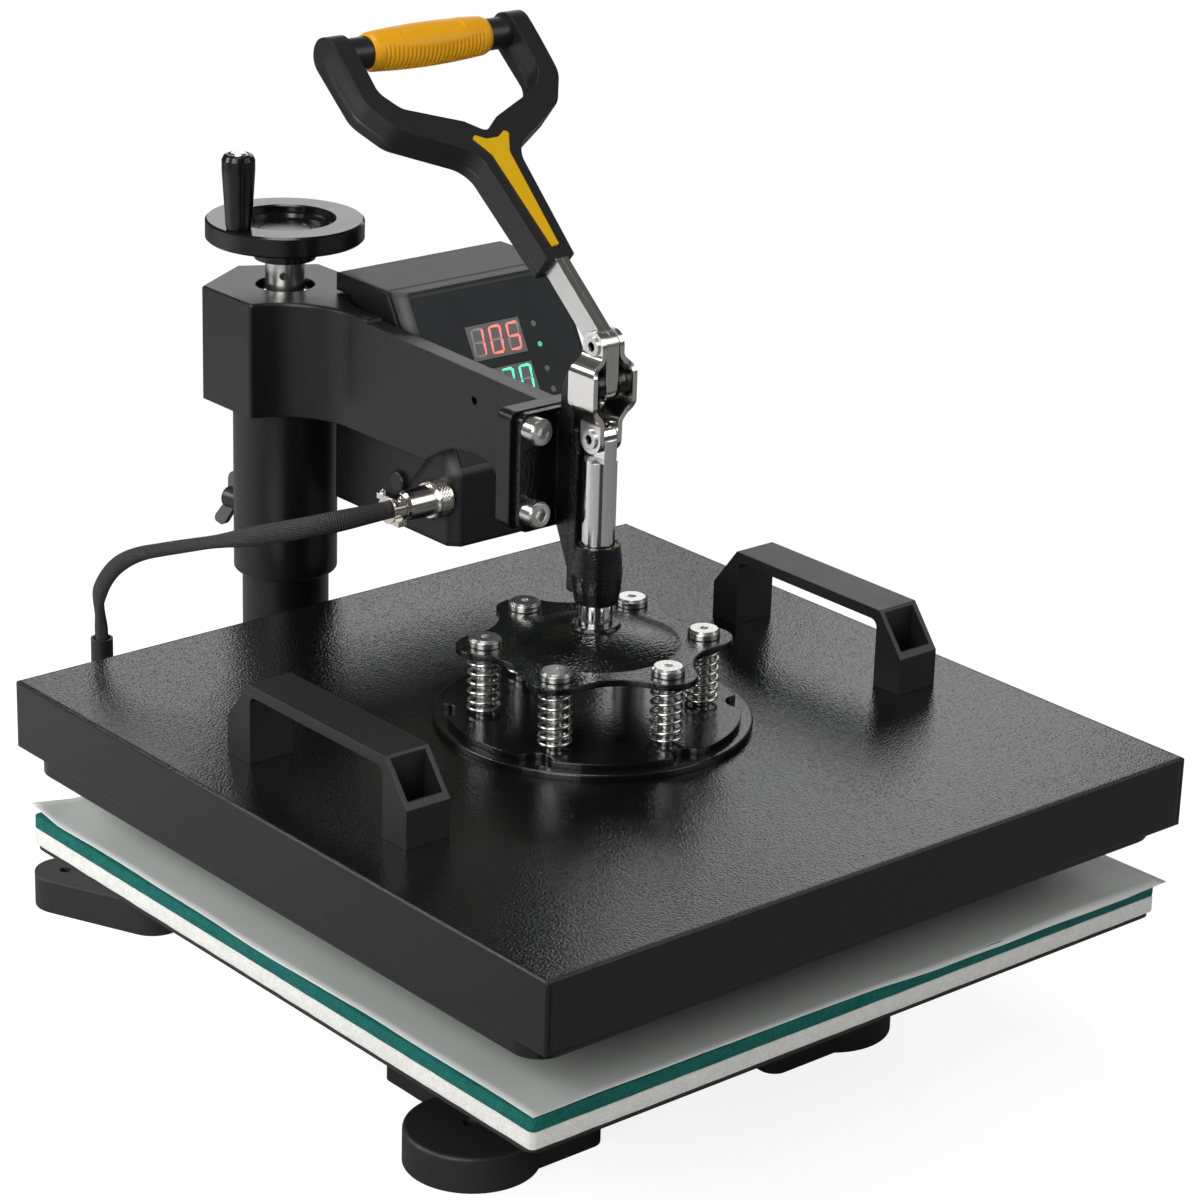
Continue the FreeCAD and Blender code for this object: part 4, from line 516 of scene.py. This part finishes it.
ring_line = [PLUG_END + Vector((-RING_FROM - (RING_TO - RING_FROM) * i / RING_ROWS, 0, RING_R))
             for i in range(RING_ROWS + 1)]
ring_bm = spun_sleeve(ring_line, PLUG_END, RING_STEPS)
set_radii(ring_bm.verts, PLUG_END, knurl_radius)
turn_in_rims(ring_bm, PLUG_END, RING_R - RING_RIM)
knurl = new_piece(ring_bm, "plug_knurl", nickel)
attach(knurl, "arm")
print("knurl faces", len(knurl.data.polygons))

# %% Clamp screws
SLOT_HALF, SLOT_DEPTH, HEAD_R, HEAD_H = 0.0002, 0.0005, 0.0016, 0.0014
clamp_bm = bmesh.new()
for side in (-1, 1):
    head_at = PLUG_END + Vector((-0.031, side * 0.0073, 0.0073))
    head = bmesh.ops.create_cone(clamp_bm, cap_ends=True, segments=20, radius1=HEAD_R, radius2=0.0014, depth=HEAD_H,
                                 matrix=Matrix.Translation(head_at))["verts"]
    for offset in (-SLOT_HALF, SLOT_HALF):
        geom = {g for v in head if v.is_valid for g in (v, *v.link_edges, *v.link_faces)}
        bmesh.ops.bisect_plane(clamp_bm, geom=list(geom), plane_co=head_at + Vector((offset, 0, 0)),
                               plane_no=(1, 0, 0), dist=1e-6)
        head = [v for v in clamp_bm.verts if (v.co - head_at).length < 2 * HEAD_R]
    slot_verts = set()
    for face in clamp_bm.faces:
        off = face.calc_center_median() - head_at
        if face.normal.z > 0.9 and abs(off.x) < SLOT_HALF / 2 and abs(off.y) < HEAD_R:
            slot_verts |= set(face.verts)
    for vert in slot_verts:
        vert.co.z -= SLOT_DEPTH
screws = new_piece(clamp_bm, "clamp_screws", nickel, smooth=False)
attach(screws, "arm")
print("clamp screw faces", len(screws.data.polygons))

# %% [markdown]
# ## The pads and the release sheet
# On the table lie a white felt, a green silicone sponge and a loose sheet of release cloth. Each
# pad is a block with eased edges, cut into strips so that its sawn sides can wander a little.


# %% Pads
def pad(name, node, corner, rounding, wander, material):
    """A block in the place of a CAD pad, with eased edges and slightly uneven sides."""
    low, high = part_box(node)
    middle, size = (low + high) / 2, high - low
    bm = bmesh.new()
    bmesh.ops.create_cube(bm, size=1, matrix=Matrix.Translation(middle) @ Matrix.Diagonal((*size, 1)))
    upright = [e for e in bm.edges if abs(e.verts[0].co.z - e.verts[1].co.z) > rounding]
    bevel(bm, upright, corner, 4)
    bevel(bm, [e for e in bm.edges if abs(e.verts[0].co.z - e.verts[1].co.z) < 1e-6
               and len(e.link_faces) == 2 and e.calc_face_angle() > 0.5], rounding)
    for axis in (0, 1):
        cut_in_strips(bm, axis, 0.006)
    bm.normal_update()
    for vert in bm.verts:
        if abs(vert.normal.z) < 0.9:
            vert.co += Vector((vert.normal.x, vert.normal.y, 0)) * noise.noise(vert.co * 90) * wander
    made = new_piece(bm, name, material)
    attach(made, "base")
    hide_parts(node)
    print(name, "faces", len(made.data.polygons))
    return made


def sponge(name, colour, lit_grain_and_fleck, roughness, size, depth):
    """Fine-pored foam: small pits in the surface, with painted light and shade in the colour, lighter on the raised
    grains and darker in the pits, mixed with slow blots of random tone.
    """
    made = Finish(name, colour, roughness, Specular_IOR_Level=0.15)
    grains = made.noise(size, 4.0)
    blots = made.noise(size * 6, 2.0)
    # Painted light and shade: lighter where the grains stand up and darker in the pits; the slow blots add random
    # tone.
    lit_grain_and_fleck_share = made.node("ShaderNodeMapRange", {}, {0: grains + blots * 0.35, 1: 0.55, 2: 0.85})
    made.set({"Base Color": made.mix(lit_grain_and_fleck_share, colour, lit_grain_and_fleck)})
    made.bump(grains, depth)
    return made.material


felt_white = sponge("felt_white", (0.52, 0.52, 0.495), (0.64, 0.64, 0.61), 0.85, 0.0009, 0.0003)
sponge_green = sponge("sponge_green", (0.0017, 0.070, 0.061), (0.0068, 0.128, 0.111), 0.7, 0.0007, 0.0003)
felt = pad("felt", "felt_pad", 0.003, 0.0008, 0.0005, felt_white)
silicone = pad("silicone_sponge", "silicone_pad", 0.003, 0.0005, 0.0003, sponge_green)

# %% [markdown]
# The release sheet is stiff see-through cloth that never lies quite flat: it waves along its edges
# and droops or curls where it reaches past the sponge. A grid is raised by slow noise that grows
# towards the edges.

# %% Release sheet
SHEET_SIDE = 0.386
TABLE_CENTRE = Vector((0, PRESS_Y, 0))


def sheet_height(x, y):
    """Height of the sheet over the sponge at a point measured from its middle."""
    edge = max(abs(x), abs(y)) / (SHEET_SIDE / 2)
    wave = noise.noise(Vector((x * 14, y * 14, 3.1)))
    curl = max(0.0, edge - 0.94) / 0.06
    corner = max(0.0, (abs(x) + abs(y)) / SHEET_SIDE - 0.93) / 0.07
    back_left = corner if x < 0 < y else 0.0
    lift = 0.0012 * (wave + 0.55) * edge ** 4 + 0.0006 * curl * wave
    droop = 0.0016 * ease(-0.06, 0.1, x) * ease(0.1903, 0.1945, -y) * (1 - corner)
    return max(0.0, lift) + 0.0035 * back_left - 0.0004 * curl * (1 - back_left) - droop


def cut_by_hand(x, y):
    """Where a point of the sheet lies after a cut that is not quite square, from its middle."""
    half = SHEET_SIDE / 2
    left, front = ease(0.12, half, -x), ease(0.12, half, -y)
    waver = noise.noise(Vector((x * 22, y * 22, 7.7)))
    return x + left * (0.0038 + 0.0012 * waver), y + front * (0.0012 - 0.0024 * x / half + 0.0009 * waver)


sheet_bm = bmesh.new()
_, sponge_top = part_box("silicone_pad")
place = Matrix.Translation((TABLE_CENTRE.x, TABLE_CENTRE.y, sponge_top.z + 0.0002))
bmesh.ops.create_grid(sheet_bm, x_segments=96, y_segments=96, size=SHEET_SIDE / 2, matrix=place)
for vert in sheet_bm.verts:
    x, y = cut_by_hand(vert.co.x - TABLE_CENTRE.x, vert.co.y - TABLE_CENTRE.y)
    vert.co = Vector((x, y, vert.co.z + sheet_height(x, y))) + TABLE_CENTRE
cloth = Finish("release_cloth", (0.42, 0.435, 0.42), 0.4, Alpha=0.88)
across = cloth.node("ShaderNodeSeparateXYZ", {}, {0: cloth.place()})
along = Value(cloth, across.socket.node.outputs[1]) - TABLE_CENTRE.y
reach = cloth.node("ShaderNodeMath", {"operation": "MAXIMUM"}, {0: across.size(), 1: along.size()})
# Painted light: a lighter band where the sheet reaches past the sponge, standing in for the bright backdrop seen
# through the overhang. The clouds are random tone.
border = cloth.node("ShaderNodeMapRange", {}, {0: reach, 1: 0.1885, 2: 0.1905})
clouds = cloth.noise(0.05, 3.0) * 0.35
cloth.set({"Base Color": cloth.mix(border * 0.7 + clouds, (0.46, 0.475, 0.46), (0.72, 0.74, 0.72))})
cloth.set({"Roughness": cloth.noise(0.03) * 0.12 + 0.32})
threads = cloth.node("ShaderNodeTexWave", {"bands_direction": "X"}, {"Vector": cloth.place(), "Scale": 350.0})
cloth.bump(threads + cloth.noise(0.004) * 0.7, 0.00003)
sheet = new_piece(sheet_bm, "release_cloth_sheet", cloth.material)
thickness = sheet.modifiers.new("thickness", "SOLIDIFY")
thickness.thickness = 0.00035
thickness.offset = 1
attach(sheet, "base")
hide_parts("release_sheet")
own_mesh(sheet)
print("sheet faces", len(sheet.data.polygons))

# %% [markdown]
# ## The pressure springs
# Six coil springs stand round the screws, between the star plate and the platen. A small ring of
# wire is spun round each screw while it climbs: slowly for the closed end turns, faster between.

# %% Springs
SPRING_LOW, SPRING_HIGH = 0.1797, 0.2095
SPRING_MEAN_R, WIRE_R = 0.0072, 0.0009
SPRING_TURNS, END_PITCH = 7, 0.0022
STEPS_A_TURN = 24
SCREW_RING_R = 0.052
screw_places = [Vector((SCREW_RING_R * math.cos(math.radians(30 + 60 * i)),
                        PRESS_Y + SCREW_RING_R * math.sin(math.radians(30 + 60 * i)), 0)) for i in range(6)]
open_pitch = (SPRING_HIGH - SPRING_LOW - 2 * WIRE_R - 2 * END_PITCH) / (SPRING_TURNS - 2)
spring_bm = bmesh.new()
for at in screw_places:
    ring_place = Matrix.Translation(at + Vector((SPRING_MEAN_R, 0, SPRING_LOW + WIRE_R)))
    ring_place = ring_place @ Matrix.Rotation(math.radians(90), 4, "X")
    ring = bmesh.ops.create_circle(spring_bm, segments=10, radius=WIRE_R, matrix=ring_place)["verts"]
    geom = ring + list({e for v in ring for e in v.link_edges})
    first_edges = [g for g in geom if isinstance(g, bmesh.types.BMEdge)]
    for turns, pitch in ((1, END_PITCH), (SPRING_TURNS - 2, open_pitch), (1, END_PITCH)):
        spun = bmesh.ops.spin(spring_bm, geom=geom, cent=at, axis=(0, 0, 1), dvec=(0, 0, pitch / STEPS_A_TURN),
                              angle=math.tau * turns, steps=STEPS_A_TURN * turns, use_merge=False)
        geom = spun["geom_last"]
    for ends in (first_edges, [g for g in geom if isinstance(g, bmesh.types.BMEdge)]):
        bmesh.ops.edgeloop_fill(spring_bm, edges=ends)
springs = new_piece(spring_bm, "coil_springs", zinc)
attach(springs, "press")
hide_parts("pressure_springs")
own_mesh(springs)
print("springs", len(screw_places), "open pitch", round(open_pitch * 1000, 2), "mm")

# %% [markdown]
# ## The grip
# The grip is a soft yellow barrel. Its upper side is smooth with a shallow panel, and fine ribs run
# round the rest. One line of points is spun round the bar, and the points are then lifted or sunk
# by where they are along the grip and round it. The handle leans back, so its pieces are placed
# along a leaning axis that starts at the elbow of the toggle.

# %% Grip
LEAN = math.radians(50)
ALONG = Vector((0, math.sin(LEAN), math.cos(LEAN)))
OUT = Vector((0, -math.cos(LEAN), math.sin(LEAN)))
ELBOW = Vector((0, PRESS_Y, 0.3568))
STEM_START, GRIP_UP = 0.0455, 0.1305
GRIP = ELBOW + ALONG * (STEM_START + GRIP_UP)
GRIP_HALF, GRIP_END_R, GRIP_MID_R = 0.0345, 0.0091, 0.0106
RIB_PITCH, RIB_DEPTH = 0.0024, 0.0005
GRIP_POINTS, GRIP_BORE_R = 230, 0.0077
smooth_side = (OUT * math.cos(math.radians(28)) + ALONG * math.sin(math.radians(28))).normalized()


def grip_radius(x, away):
    """Radius at a place along the grip, in a direction away from its axis."""
    facing = away.dot(smooth_side)
    share = x / GRIP_HALF
    radius = GRIP_MID_R - (GRIP_MID_R - GRIP_END_R) * share * share
    border = 0.25 + 0.55 * share * share
    ribbed = (1 - ease(border - 0.12, border + 0.12, facing)) * (1 - ease(0.8, 0.9, abs(share)))
    radius -= ribbed * RIB_DEPTH * (0.5 + 0.5 * math.cos(math.tau * x / RIB_PITCH))
    panel = ease(0.80, 0.86, facing) * (1 - ease(0.52, 0.56, abs(share)))
    return radius - 0.00035 * panel - 0.0006 * ease(0.94, 1.0, abs(share))


grip_line = [Vector((-GRIP_HALF + 2 * GRIP_HALF * i / GRIP_POINTS, 0, 0)) + GRIP + OUT * 0.01
             for i in range(GRIP_POINTS + 1)]
grip_bm = spun_sleeve(grip_line, GRIP, 72)
set_radii(grip_bm.verts, GRIP, grip_radius)
turn_in_rims(grip_bm, GRIP, GRIP_BORE_R)
rubber = Finish("grip_rubber", (0.70, 0.33, 0.003), 0.42, Specular_IOR_Level=0.3)
rubber.set({"Roughness": rubber.noise(0.012) * 0.1 + 0.38})
rubber.set({"Base Color": rubber.mix(rubber.noise(0.01), (0.66, 0.30, 0.002), (0.78, 0.37, 0.004))})
rubber.bump(rubber.noise(0.0006), 0.00003)
grip = new_piece(grip_bm, "ribbed_grip", rubber.material)
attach(grip, "lever")
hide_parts("grip_sleeve")
print("grip faces", len(grip.data.polygons))

# %% [markdown]
# ## Outlines with rounded corners
# The handle and the link plates are flat shapes that got their form in a mould or a press. Each
# starts as a face whose corners are rounded one by one. A vertex bevel does that: it cuts the corner
# back along both edges, by the radius over the tangent of half the corner's angle.


# %% Rounded outline
def rounded_face(bm, corners):
    """A flat face in the x, y plane from rows of (x, y, corner radius) in millimetres."""
    spots = [Vector((x / 1000, y / 1000, 0)) for x, y, _ in corners]
    verts = [bm.verts.new(spot) for spot in spots]
    bm.faces.new(verts)
    for i, (vert, (_, _, radius)) in enumerate(zip(verts, corners)):
        if radius:
            following = spots[(i + 1) % len(spots)]
            angle = (spots[i - 1] - spots[i]).angle(following - spots[i])
            back = radius / 1000 / math.tan(angle / 2)
            bmesh.ops.bevel(bm, geom=[vert], offset=back, offset_type="OFFSET", segments=4 + round(radius / 2),
                            profile=0.5, affect="VERTICES", material=-1, clamp_overlap=False)


def ease_edges(piece, width, segments, angle):
    """A live bevel that rounds each edge sharper than the angle, and keeps the flats flat."""
    rounding = piece.modifiers.new("rounding", "BEVEL")
    rounding.width = width
    rounding.segments = segments
    rounding.limit_method = "ANGLE"
    rounding.angle_limit = math.radians(angle)
    rounding.harden_normals = True


print("outline helpers ready")

# %% [markdown]
# ## The handle
# The handle is one moulding: a stem that forks into two arms, thicker towards the grip, with broad
# soft edges and a fine groove where the halves of the mould met. Its outline is extruded, cut into
# strips, and every strip is set to the thickness that the side view has at that height.

# %% Handle outline
# Corners in millimetres: across, up from the foot of the stem, and the radius of the corner.
GRIP_AT, BARREL_END_R = GRIP_UP * 1000, 9.6
STEM_SIDE = [(8, 0, 1.5), (11, 62, 14), (47.5, 82, 12), (57.5, 98, 14), (57.5, GRIP_AT + BARREL_END_R, 0)]
ARM_SIDE = [(47.5, GRIP_AT + BARREL_END_R, 0), (47.5, 102, 9), (39.5, 92, 9), (9, 80, 8)]
right_half = STEM_SIDE + ARM_SIDE
left_half = [(-x, s, r) for x, s, r in right_half[::-1]]
handle_bm = bmesh.new()
rounded_face(handle_bm, right_half + [(0, 73, 4)] + left_half)
print("outline corners", len(handle_bm.verts))

# %% Handle thickness
GROOVE_AT, GROOVE_HALF, GROOVE_DEPTH = 0.35, 0.03, 0.0006


def handle_front(s):
    """How far the front stands off the middle plane at a height up the handle, all in millimetres."""
    if s > GRIP_AT:
        return math.sqrt(max(0.04, BARREL_END_R ** 2 - (s - GRIP_AT) ** 2))
    return 5.5 + s / 86 if s < 80 else 6.43 + 3.17 * ease(70, GRIP_AT, s)


def handle_back(s):
    return handle_front(s) if s > GRIP_AT else 8.9 + 0.7 * s / GRIP_AT


raised = bmesh.ops.extrude_face_region(handle_bm, geom=handle_bm.faces[:])["geom"]
for vert in points_of(raised):
    vert.co.z = 1
flat_steps = [0.006 * i for i in range(1, 22)]
end_steps = [(GRIP_AT + BARREL_END_R * math.sin(math.radians(6 * i))) / 1000 for i in range(15)]
cut_across(handle_bm, 1, flat_steps + end_steps)
cut_across(handle_bm, 2, [GROOVE_AT - GROOVE_HALF, GROOVE_AT, GROOVE_AT + GROOVE_HALF])
handle_bm.normal_update()
for vert in handle_bm.verts:
    if abs(vert.co.z - GROOVE_AT) < 0.01 and vert.co.y < GRIP_AT / 1000:
        vert.co -= Vector((vert.normal.x, vert.normal.y, 0)).normalized() * GROOVE_DEPTH
for vert in handle_bm.verts:
    x, s, depth = vert.co
    front, back = handle_front(s * 1000) / 1000, handle_back(s * 1000) / 1000
    out = -back + (front + back) * depth
    vert.co = ELBOW + ALONG * (STEM_START + s) + OUT * out + Vector((x, 0, 0))
bmesh.ops.remove_doubles(handle_bm, verts=handle_bm.verts, dist=2e-5)
handle = new_piece(handle_bm, "moulded_handle", black_plastic)
ease_edges(handle, 0.0022, 4, 50)
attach(handle, "lever")
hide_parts("handle_frame")
print("handle faces", len(handle.data.polygons))

# %% [markdown]
# ## The link plates
# Two straps of nickel-plated steel join the lever to the shaft. They bow outwards round the
# fulcrum, and a press gave them round bends. The flat outline is cut into narrow strips, every strip
# is moved sideways to follow the bow, and a live Solidify gives the sheet its thickness.

# %% Link plates
LINK_T = 0.0025
# The bowed middle line and the flat outline of a strap, in millimetres.
LINK_LINE = [(5.25, 300), (5.25, 321.6), (11.75, 328.5), (11.75, 346.1), (5.25, 351.6), (5.25, 370)]
BEND = 1.7
LINK_OUTLINE = [(-7, 305.6, 6.9), (-7, 325, 3), (-9, 330, 2), (-9, 344.2, 2), (-7, 348.2, 3), (-7, 363.8, 6.9),
                (7, 363.8, 6.9), (7, 348.2, 3), (9, 344.2, 2), (9, 330, 2), (7, 325, 3), (7, 305.6, 6.9)]


def link_offset(z):
    """Distance of the strap's middle from the centre plane at height z, both in millimetres."""
    total = 0.0
    for i in range(9):
        at = z + BEND * (i - 4) / 4
        for (x0, z0), (x1, z1) in zip(LINK_LINE, LINK_LINE[1:]):
            if z0 <= at <= z1:
                total += x0 + (x1 - x0) * (at - z0) / (z1 - z0)
                break
    return total / 9


link_bm = bmesh.new()
rounded_face(link_bm, LINK_OUTLINE)
cut_across(link_bm, 1, [0.3060 + 0.0008 * i for i in range(72)])
flat = link_bm.verts[:]
copied = bmesh.ops.duplicate(link_bm, geom=link_bm.verts[:] + link_bm.edges[:] + link_bm.faces[:])["geom"]
for side, verts in ((-1, flat), (1, points_of(copied))):
    for vert in verts:
        across, z = vert.co.x, vert.co.y
        vert.co = Vector((side * link_offset(z * 1000) / 1000, PRESS_Y + across, z))
nickel_steel = metal("nickel_steel", (0.80, 0.79, 0.77), 0.2, 0.08, 0.000012)
links = new_piece(link_bm, "bent_link_plates", nickel_steel)
links.data.set_sharp_from_angle(angle=math.radians(60))
wall = links.modifiers.new("wall", "SOLIDIFY")
wall.thickness = LINK_T
wall.offset = 0
wall.use_even_offset = True
ease_edges(links, 0.0005, 3, 50)
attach(links, "link")
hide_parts("link_plates")
print("link faces", len(links.data.polygons))

# %% [markdown]
# ## The displays
# Two three-digit displays sit behind the panel's windows. Each digit has seven bars, and the bars
# that are off still show as pale grey. A bar is a ring of six corners stretched to its length.

# %% Display bars
SILL = Vector((0, 0.006, 0.256))
UP_SLOPE = Vector((0, 0.046, 0.081)).normalized()
OFF_PANEL = Vector((0, -0.081, 0.046)).normalized()


def panel_place(x, height, out):
    """Matrix of a spot on the sloping panel at a height over the bench."""
    at = SILL + UP_SLOPE * ((height - SILL.z) / UP_SLOPE.z) + Vector((x, 0, 0)) + OFF_PANEL * out
    axes = Matrix((Vector((1, 0, 0)), UP_SLOPE, OFF_PANEL)).transposed()
    return Matrix.Translation(at) @ axes.to_4x4()


BAR_W, BAR_LONG, UPRIGHT_LONG, DIGIT_LEAN = 0.0013, 0.0060, 0.0063, 0.12
BARS = {"top": (0, 1, 0), "middle": (0, 0, 0), "bottom": (0, -1, 0), "left_up": (-1, 0.5, 1),
        "right_up": (1, 0.5, 1), "left_down": (-1, -0.5, 1), "right_down": (1, -0.5, 1)}
LIT_IN = {"0": "top bottom left_up right_up left_down right_down", "1": "right_up right_down",
          "3": "top middle bottom right_up right_down", "5": "top middle bottom left_up right_down"}


def add_bar(bm, digit_place, bar):
    """One bar of a digit, a long flat six-cornered prism."""
    across, up, upright = bar
    middle = Matrix.Translation((across * 0.0033, up * 0.0067, 0))
    shear = Matrix.Identity(4)
    shear[0][1] = DIGIT_LEAN
    turn = Matrix.Rotation(math.radians(90 * upright), 4, "Z")
    length = UPRIGHT_LONG if upright else BAR_LONG
    made = bmesh.ops.create_circle(bm, segments=6, radius=BAR_W / 2 * 1.15, cap_ends=True)["verts"]
    for vert in made:
        vert.co.x += math.copysign((length - BAR_W) / 2, vert.co.x)
        vert.co = digit_place @ shear @ middle @ turn @ vert.co


def display(name, text, height, lit_material, off_material):
    lit_bm, off_bm = bmesh.new(), bmesh.new()
    for i, mark in enumerate(text):
        digit_place = panel_place(0.0515 + 0.0112 * i, height, 0.00016)
        for bar_name, bar in BARS.items():
            add_bar(lit_bm if bar_name in LIT_IN[mark].split() else off_bm, digit_place, bar)
    for bm, part, material in ((lit_bm, "lit", lit_material), (off_bm, "unlit", off_material)):
        made = new_piece(bm, name + "_" + part, material, smooth=False)
        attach(made, "arm")


def glowing(name, colour, strength):
    made = Finish(name, colour, 0.4, Emission_Strength=strength)
    made.shader.inputs["Emission Color"].default_value = (*colour, 1)
    uneven = made.noise(0.002)
    made.set({"Emission Color": made.mix(uneven, colour, tuple(min(1, c * 1.3 + 0.05) for c in colour))})
    return made.material


lit_red = glowing("lit_red", (0.95, 0.13, 0.10), 1.1)
lit_green = glowing("lit_green", (0.05, 0.85, 0.45), 1.1)
bar_grey = plastic("bar_grey", (0.30, 0.29, 0.29), 0.4)
display("upper_digits", "105", 0.310, lit_red, bar_grey)
display("lower_digits", "030", 0.2905, lit_green, bar_grey)
lamp_bm = bmesh.new()
bmesh.ops.create_circle(lamp_bm, segments=20, radius=0.0014, cap_ends=True, matrix=panel_place(0.088, 0.304, 0.0004))
lit_lamp = new_piece(lamp_bm, "lit_lamp", glowing("lamp_green", (0.01, 0.30, 0.14), 0.9), smooth=False)
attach(lit_lamp, "arm")
print("digits made")

# %% [markdown]
# ## Light
# The press stands on a white sweep under large soft lamps. Black paint shows only what it reflects,
# so the lamps are wide panels, and the sky that gloss sees is dim.


# %% Lamps
def lamp(name, at, towards, size, power):
    light = bpy.data.lights.new(name, "AREA")
    light.shape = "RECTANGLE"
    light.size, light.size_y = size
    light.energy = power
    holder = bpy.data.objects.new(name, light)
    bpy.context.scene.collection.objects.link(holder)
    aim = (Vector(towards) - Vector(at)).to_track_quat("-Z", "Y")
    holder.matrix_world = Matrix.Translation(at) @ aim.to_matrix().to_4x4()
    return holder


lamp("key_left", (-1.9, -0.85, 1.1), (0, 0, 0.2), (1.4, 1.2), 38)
lamp("front_right", (1.3, -1.75, 1.4), (0, -0.1, 0.2), (1.6, 1.2), 13)
lamp("top", (-0.2, 0.1, 2.1), (0, 0, 0.2), (1.0, 0.8), 16)
lamp("back_tall", (0.92, 1.38, 0.84), (-0.1, 0, 0.2), (0.75, 0.5), 1.9)
lamp("back_side", (1.38, 0.92, 0.94), (0.1, -0.1, 0.15), (0.5, 0.75), 1.9)
pool = lamp("floor_left", (-1.3, 1.1, 1.0), (-0.75, 0.75, 0), (0.8, 0.8), 12)
pool.data.spread = math.radians(80)

# %% [markdown]
# What the camera sees behind the press is plain white. Everything else sees a dim room, because
# black gloss paint under a white sky would turn grey.

# %% Sky
WHITE = (1, 1, 1, 1)


def new_shader(tree, kind, inputs):
    """The output of a new shader, whose inputs are numbers, colours or other outputs."""
    made = tree.nodes.new(kind)
    for name, value in inputs.items():
        if isinstance(value, bpy.types.NodeSocket):
            tree.links.new(value, made.inputs[name])
        else:
            made.inputs[name].default_value = value
    return made.outputs[0] if made.outputs else None


world = bpy.data.worlds.new("studio")
bpy.context.scene.world = world
world.use_nodes = True
sky = world.node_tree
sky.nodes.clear()
camera_sees = sky.nodes.new("ShaderNodeLightPath").outputs["Is Camera Ray"]
room = new_shader(sky, "ShaderNodeBackground", {"Color": WHITE, "Strength": 0.075})
backdrop = new_shader(sky, "ShaderNodeBackground", {"Color": WHITE, "Strength": 1.0})
chosen = new_shader(sky, "ShaderNodeMixShader", {0: camera_sees, 1: room, 2: backdrop})
new_shader(sky, "ShaderNodeOutputWorld", {"Surface": chosen})
print("sky ready")

# %% [markdown]
# The floor is white paper. The camera sees it glow a little under white, so that the press leaves a
# soft shadow, and pure white further out. A dark strip that only the gloss sees runs forward from
# the press, as a black card would in a studio, and gives the bright shaft its dark stripe.

# %% Floor
FORWARD = (-0.508, -0.862)
STRIP_SPREAD = 0.21
PAPER_GREY, STRIP_GREY = (0.27, 0.27, 0.27), (0.01, 0.01, 0.01)
GLOW, FADE_FROM, FADE_TO = 0.86, 0.36, 0.75
floor_bm = bmesh.new()
bmesh.ops.create_grid(floor_bm, x_segments=1, y_segments=1, size=14.0, matrix=Matrix.Translation((0, 0, -0.0005)))
floor_finish = Finish("floor", PAPER_GREY, 0.9)
across = floor_finish.node("ShaderNodeSeparateXYZ", {}, {0: floor_finish.place()})
along = Value(floor_finish, across.socket.node.outputs[1]) - PRESS_Y
ahead = across * FORWARD[0] + along * FORWARD[1]
aside = (across * FORWARD[1] - along * FORWARD[0]).size()
strip = floor_finish.node("ShaderNodeMapRange", {}, {0: ahead * STRIP_SPREAD - aside, 1: -0.02, 2: 0.02})
floor_finish.set({"Base Color": floor_finish.mix(strip, PAPER_GREY, STRIP_GREY)})
floor = new_piece(floor_bm, "floor", floor_finish.material)
from_middle = floor_finish.node("ShaderNodeVectorMath", {"operation": "LENGTH"}, {0: floor_finish.place()}, output=1)
far = floor_finish.node("ShaderNodeMapRange", {"interpolation_type": "SMOOTHSTEP"},
                        {0: from_middle, 1: FADE_FROM, 2: FADE_TO})
tree = floor_finish.tree
rays = tree.nodes.new("ShaderNodeLightPath").outputs
matt = new_shader(tree, "ShaderNodeBsdfDiffuse", {"Color": (*PAPER_GREY, 1)})
glow = new_shader(tree, "ShaderNodeEmission", {"Strength": GLOW})
near = new_shader(tree, "ShaderNodeAddShader", {0: matt, 1: glow})
paper = new_shader(tree, "ShaderNodeEmission", {"Strength": 1.0})
seen = new_shader(tree, "ShaderNodeMixShader", {0: far.socket, 1: near, 2: paper})
bounce = new_shader(tree, "ShaderNodeBsdfDiffuse", {"Color": (0.8, 0.8, 0.8, 1)})
gloss_or_bounce = {0: rays["Is Diffuse Ray"], 1: floor_finish.shader.outputs[0], 2: bounce}
unseen = new_shader(tree, "ShaderNodeMixShader", gloss_or_bounce)
shown = new_shader(tree, "ShaderNodeMixShader", {0: rays["Is Camera Ray"], 1: unseen, 2: seen})
tree.links.new(shown, floor_finish.output.inputs["Surface"])
print("floor ready")
